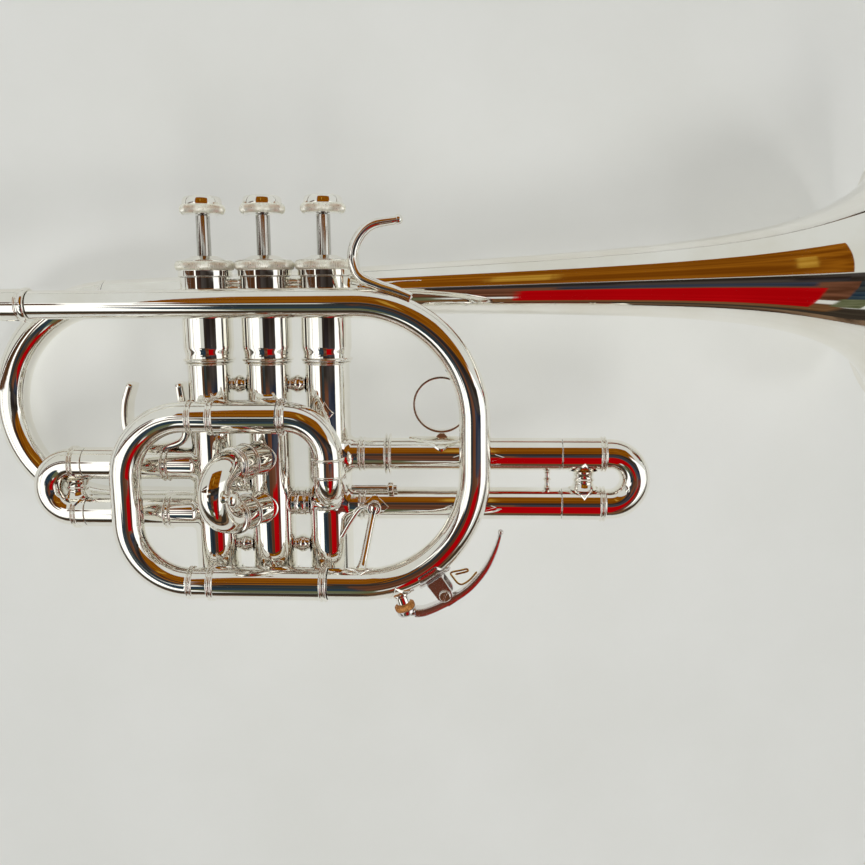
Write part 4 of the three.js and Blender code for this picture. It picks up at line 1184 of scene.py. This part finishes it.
# Each reflector: name, height, dark colour, light colour, grain, x from, x to, y from, y to, edge softness
REFLECTORS = (
    ("wood", ROOM, (0.15, 0.042, 0.002), (0.29, 0.10, 0.006), 0.9, -1.45, 2.1, -0.24, 2.7, 0.015),
    ("lamp", LAMP, (0.33, 0.16, 0.015), (0.46, 0.25, 0.035), 3.0, -0.135, -0.04, 0.13, 0.5, 0.2),
    ("ground", NEAR, (0.030, 0.022, 0.016), (0.050, 0.040, 0.028), 0.4, -6.0, 6.0, -9.0, -0.95, 0.02),
    ("floorboards", NEAR, (0.11, 0.05, 0.018), (0.19, 0.10, 0.045), 1.2, -0.30, 0.75, -2.3, -0.75, 0.12),
    ("window_left", NEAR, (1.25, 1.25, 1.22), (1.35, 1.35, 1.32), 0.5, -1.9, -0.30, -0.85, 0.07, 0.04),
    ("window_right", NEAR, (1.2, 1.2, 1.18), (1.3, 1.3, 1.28), 0.5, 0.27, 1.9, -0.62, 0.10, 0.08),
    ("frame_high", NEAR, (0.05, 0.022, 0.014), (0.10, 0.045, 0.03), 6.0, -2.2, -0.47, 0.045, 0.12, 0.1),
    ("frame_middle", NEAR, (0.05, 0.022, 0.010), (0.12, 0.05, 0.022), 4.0, -4.0, -0.42, -0.085, 0.035, 0.15),
    ("frame_post", NEAR, (0.10, 0.07, 0.06), (0.20, 0.17, 0.15), 6.0, -0.98, -0.90, -0.85, 0.06, 0.2),
    ("curtain", NEAR, (0.07, 0.026, 0.012), (0.17, 0.07, 0.038), 3.0, -0.20, 0.17, -0.62, -0.09, 0.12),
    ("navy", NEAR, (0.010, 0.024, 0.045), (0.040, 0.062, 0.075), 5.0, -0.44, -0.14, -0.56, -0.255, 0.08),
    ("teal", NEAR, (0.015, 0.020, 0.026), (0.045, 0.052, 0.050), 5.0, -0.305, -0.15, -0.32, -0.10, 0.06),
    # Painted shade: a dark band that darkens the reflections seen to the left of the tubes and casings.
    ("corner", NEAR, (0.020, 0.012, 0.009), (0.055, 0.030, 0.022), 5.0, -0.36, -0.16, -0.06, 0.0, 0.2),
    ("olive", NEAR, (0.085, 0.095, 0.045), (0.15, 0.16, 0.09), 5.0, -0.42, -0.10, -1.0, -0.50, 0.12),
    ("maroon", NEAR, (0.06, 0.012, 0.010), (0.20, 0.05, 0.035), 4.0, 0.12, 0.40, -1.1, -0.16, 0.2),
    ("red", NEAR, (0.34, 0.0, 0.002), (0.42, 0.002, 0.004), 2.5, -0.03, 0.21, -1.30, -0.23, 0.05),
    # Painted shade: a second dark band of the same kind, lower down on the left, that darkens the reflections
    # there.
    ("left_shade_band", NEAR, (0.075, 0.035, 0.015), (0.12, 0.06, 0.03), 3.0, -0.40, -0.27, -0.185, -0.108, 0.2),
    ("blue_shade", NEAR, (0.014, 0.018, 0.034), (0.050, 0.056, 0.080), 4.0, 0.0, 0.36, -0.215, -0.10, 0.12),
    ("shade", NEAR, (0.020, 0.014, 0.010), (0.055, 0.046, 0.042), 4.0, -0.18, 0.36, -0.14, -0.005, 0.14),
    ("lens", NEAR, (0.012, 0.008, 0.006), (0.035, 0.03, 0.035), 3.0, -0.10, 0.06, -0.12, -0.045, 0.3),
)


def reflector_material(name, dark, light, grain, width, height, softness):
    """A glowing panel, streaked along X, that fades out at its edges."""
    nodes = Nodes(f"reflector {name}")
    nodes.tree.nodes.remove(nodes.shader)
    streaks = nodes.noise(grain, 1.0, 0.5, (width * 0.5, height * 1.5, 1.0))
    colour = nodes.ramp(streaks, [(0.36, dark), (0.66, light)])
    glow = nodes.add("ShaderNodeEmission", {"Color": colour})
    reach = nodes.add("ShaderNodeVectorMath", {0: nodes.where}, operation="ABSOLUTE")
    split = nodes.add("ShaderNodeSeparateXYZ", {"Vector": reach.outputs["Vector"]})
    fades = []
    for axis, size in (("X", width), ("Y", height)):
        start = 1.0 - min(1.0, 2 * softness * min(width, height) / size)
        inputs = {"Value": split.outputs[axis], "From Min": start, "To Min": 1.0, "To Max": 0.0}
        fade = nodes.add("ShaderNodeMapRange", inputs, interpolation_type="SMOOTHSTEP")
        fades.append(fade.outputs["Result"])
    both = nodes.add("ShaderNodeMath", {0: fades[0], 1: fades[1]}, operation="MULTIPLY")
    clear = nodes.add("ShaderNodeBsdfTransparent", {})
    shaders = {"Fac": both.outputs["Value"], 1: clear.outputs["BSDF"], 2: glow.outputs["Emission"]}
    mix = nodes.add("ShaderNodeMixShader", shaders)
    output = nodes.tree.nodes["Material Output"]
    nodes.tree.links.new(mix.outputs["Shader"], output.inputs["Surface"])
    return nodes.material


def flat_panel(name, place, half_width, half_height, material):
    """A rectangle whose object coordinates run from -1 to 1."""
    mesh = bpy.data.meshes.new(name)
    mesh.from_pydata([(-1, -1, 0), (1, -1, 0), (1, 1, 0), (-1, 1, 0)], [], [(0, 1, 2, 3)])
    mesh.materials.append(material)
    panel = add_object(name, mesh)
    panel.location = place
    panel.scale = (half_width, half_height, 1.0)
    panel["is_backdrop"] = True
    return panel


def reflectors():
    """The room, as panels that only mirrors see. Later ones lie lower and cover earlier ones."""
    for layer, (name, height, dark, light, grain, x0, x1, y0, y1, softness) in enumerate(REFLECTORS):
        material = reflector_material(name, dark, light, grain, x1 - x0, y1 - y0, softness)
        place = ((x0 + x1) / 2, (y0 + y1) / 2, height - REFLECTOR_STEP * layer)
        panel = flat_panel(f"reflector_{name}", place, (x1 - x0) / 2, (y1 - y0) / 2, material)
        only_for_mirrors(panel)


def horizon():
    """A low dark wall round the table, which the mirrors show as a thin line near their edges."""
    steps = 96
    low, high = [], []
    for k in range(steps):
        angle = 2 * math.pi * k / steps
        x, y = HORIZON_RADIUS * math.cos(angle), HORIZON_RADIUS * math.sin(angle)
        low.append((x, y, -0.15))
        high.append((x, y, 0.10 - 0.11 * math.sin(angle) + 0.03 * math.sin(8 * angle)))
    mesh = bpy.data.meshes.new("horizon")
    mesh.from_pydata(low + high, [], ring_faces(2, steps))
    nodes = Nodes("horizon").set(Base_Color=(0.0, 0.0, 0.0, 1.0), Roughness=1.0, Specular_IOR_Level=0.0)
    nodes.set(Emission_Strength=1.0)
    clutter = nodes.noise(2.0, 3.0, 0.6, (1.0, 1.0, 0.4))
    nodes.drive("Emission Color", clutter, (0.4, (0.035, 0.020, 0.012)), (0.62, (0.20, 0.13, 0.08)))
    mesh.materials.append(nodes.material)
    wall = add_object("horizon", mesh)
    wall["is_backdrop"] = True
    only_for_mirrors(wall)


def only_for_mirrors(thing):
    thing.visible_camera = False
    thing.visible_diffuse = False
    thing.visible_shadow = False
    thing.visible_transmission = False


def table():
    nodes = Nodes("table")
    cloud = nodes.noise(10.0, 4.0)
    nodes.drive("Base Color", cloud, (0.35, (0.69, 0.695, 0.66)), (0.65, (0.72, 0.725, 0.695)))
    nodes.set(Roughness=0.75)
    nodes.bump(nodes.noise(1400.0, 3.0), 0.12, 0.0003)
    height = min(0.0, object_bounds()[0][2])
    flat_panel("table", (0, 0, height), TABLE_HALF, TABLE_HALF, nodes.material)


def area_light(name, place, size, power, shadows=True):
    """A round light that faces the table's middle and doesn't show in the mirrors."""
    data = bpy.data.lights.new(name, "AREA")
    data.shape = "DISK"
    data.size = size
    data.energy = power
    data.use_shadow = shadows
    light = add_object(name, data)
    light.location = place
    light.rotation_euler = (-Vector(place)).to_track_quat("-Z", "Y").to_euler()
    light.visible_glossy = False
    light.visible_camera = False


def lights():
    """A pale sky, stronger in the mirrors than on the table, three window lights and a fill."""
    world = bpy.data.worlds.new("room")
    world.use_nodes = True
    tree = world.node_tree
    background = tree.nodes["Background"]
    background.inputs["Color"].default_value = SKY_COLOUR
    on_table = add_node(tree, "ShaderNodeLightPath", {}).outputs["Is Diffuse Ray"]
    inputs = {"Value": on_table, "To Min": MIRROR_SKY, "To Max": TABLE_SKY}
    strength = add_node(tree, "ShaderNodeMapRange", inputs)
    tree.links.new(strength.outputs["Result"], background.inputs["Strength"])
    bpy.context.scene.world = world
    area_light("window_light_front", (0.1, -0.95, 1.05), 0.5, 4.4)
    area_light("window_light_right", (0.85, -0.35, 1.05), 0.4, 2.0)
    area_light("window_light_left", (-1.1, -0.3, 0.9), 0.6, 1.2)
    area_light("fill_light", (-0.22, 0.62, 1.6), 0.6, 17.4, shadows=False)


reflectors()
horizon()
table()
lights()
bpy.context.scene.view_settings.view_transform = "Standard"
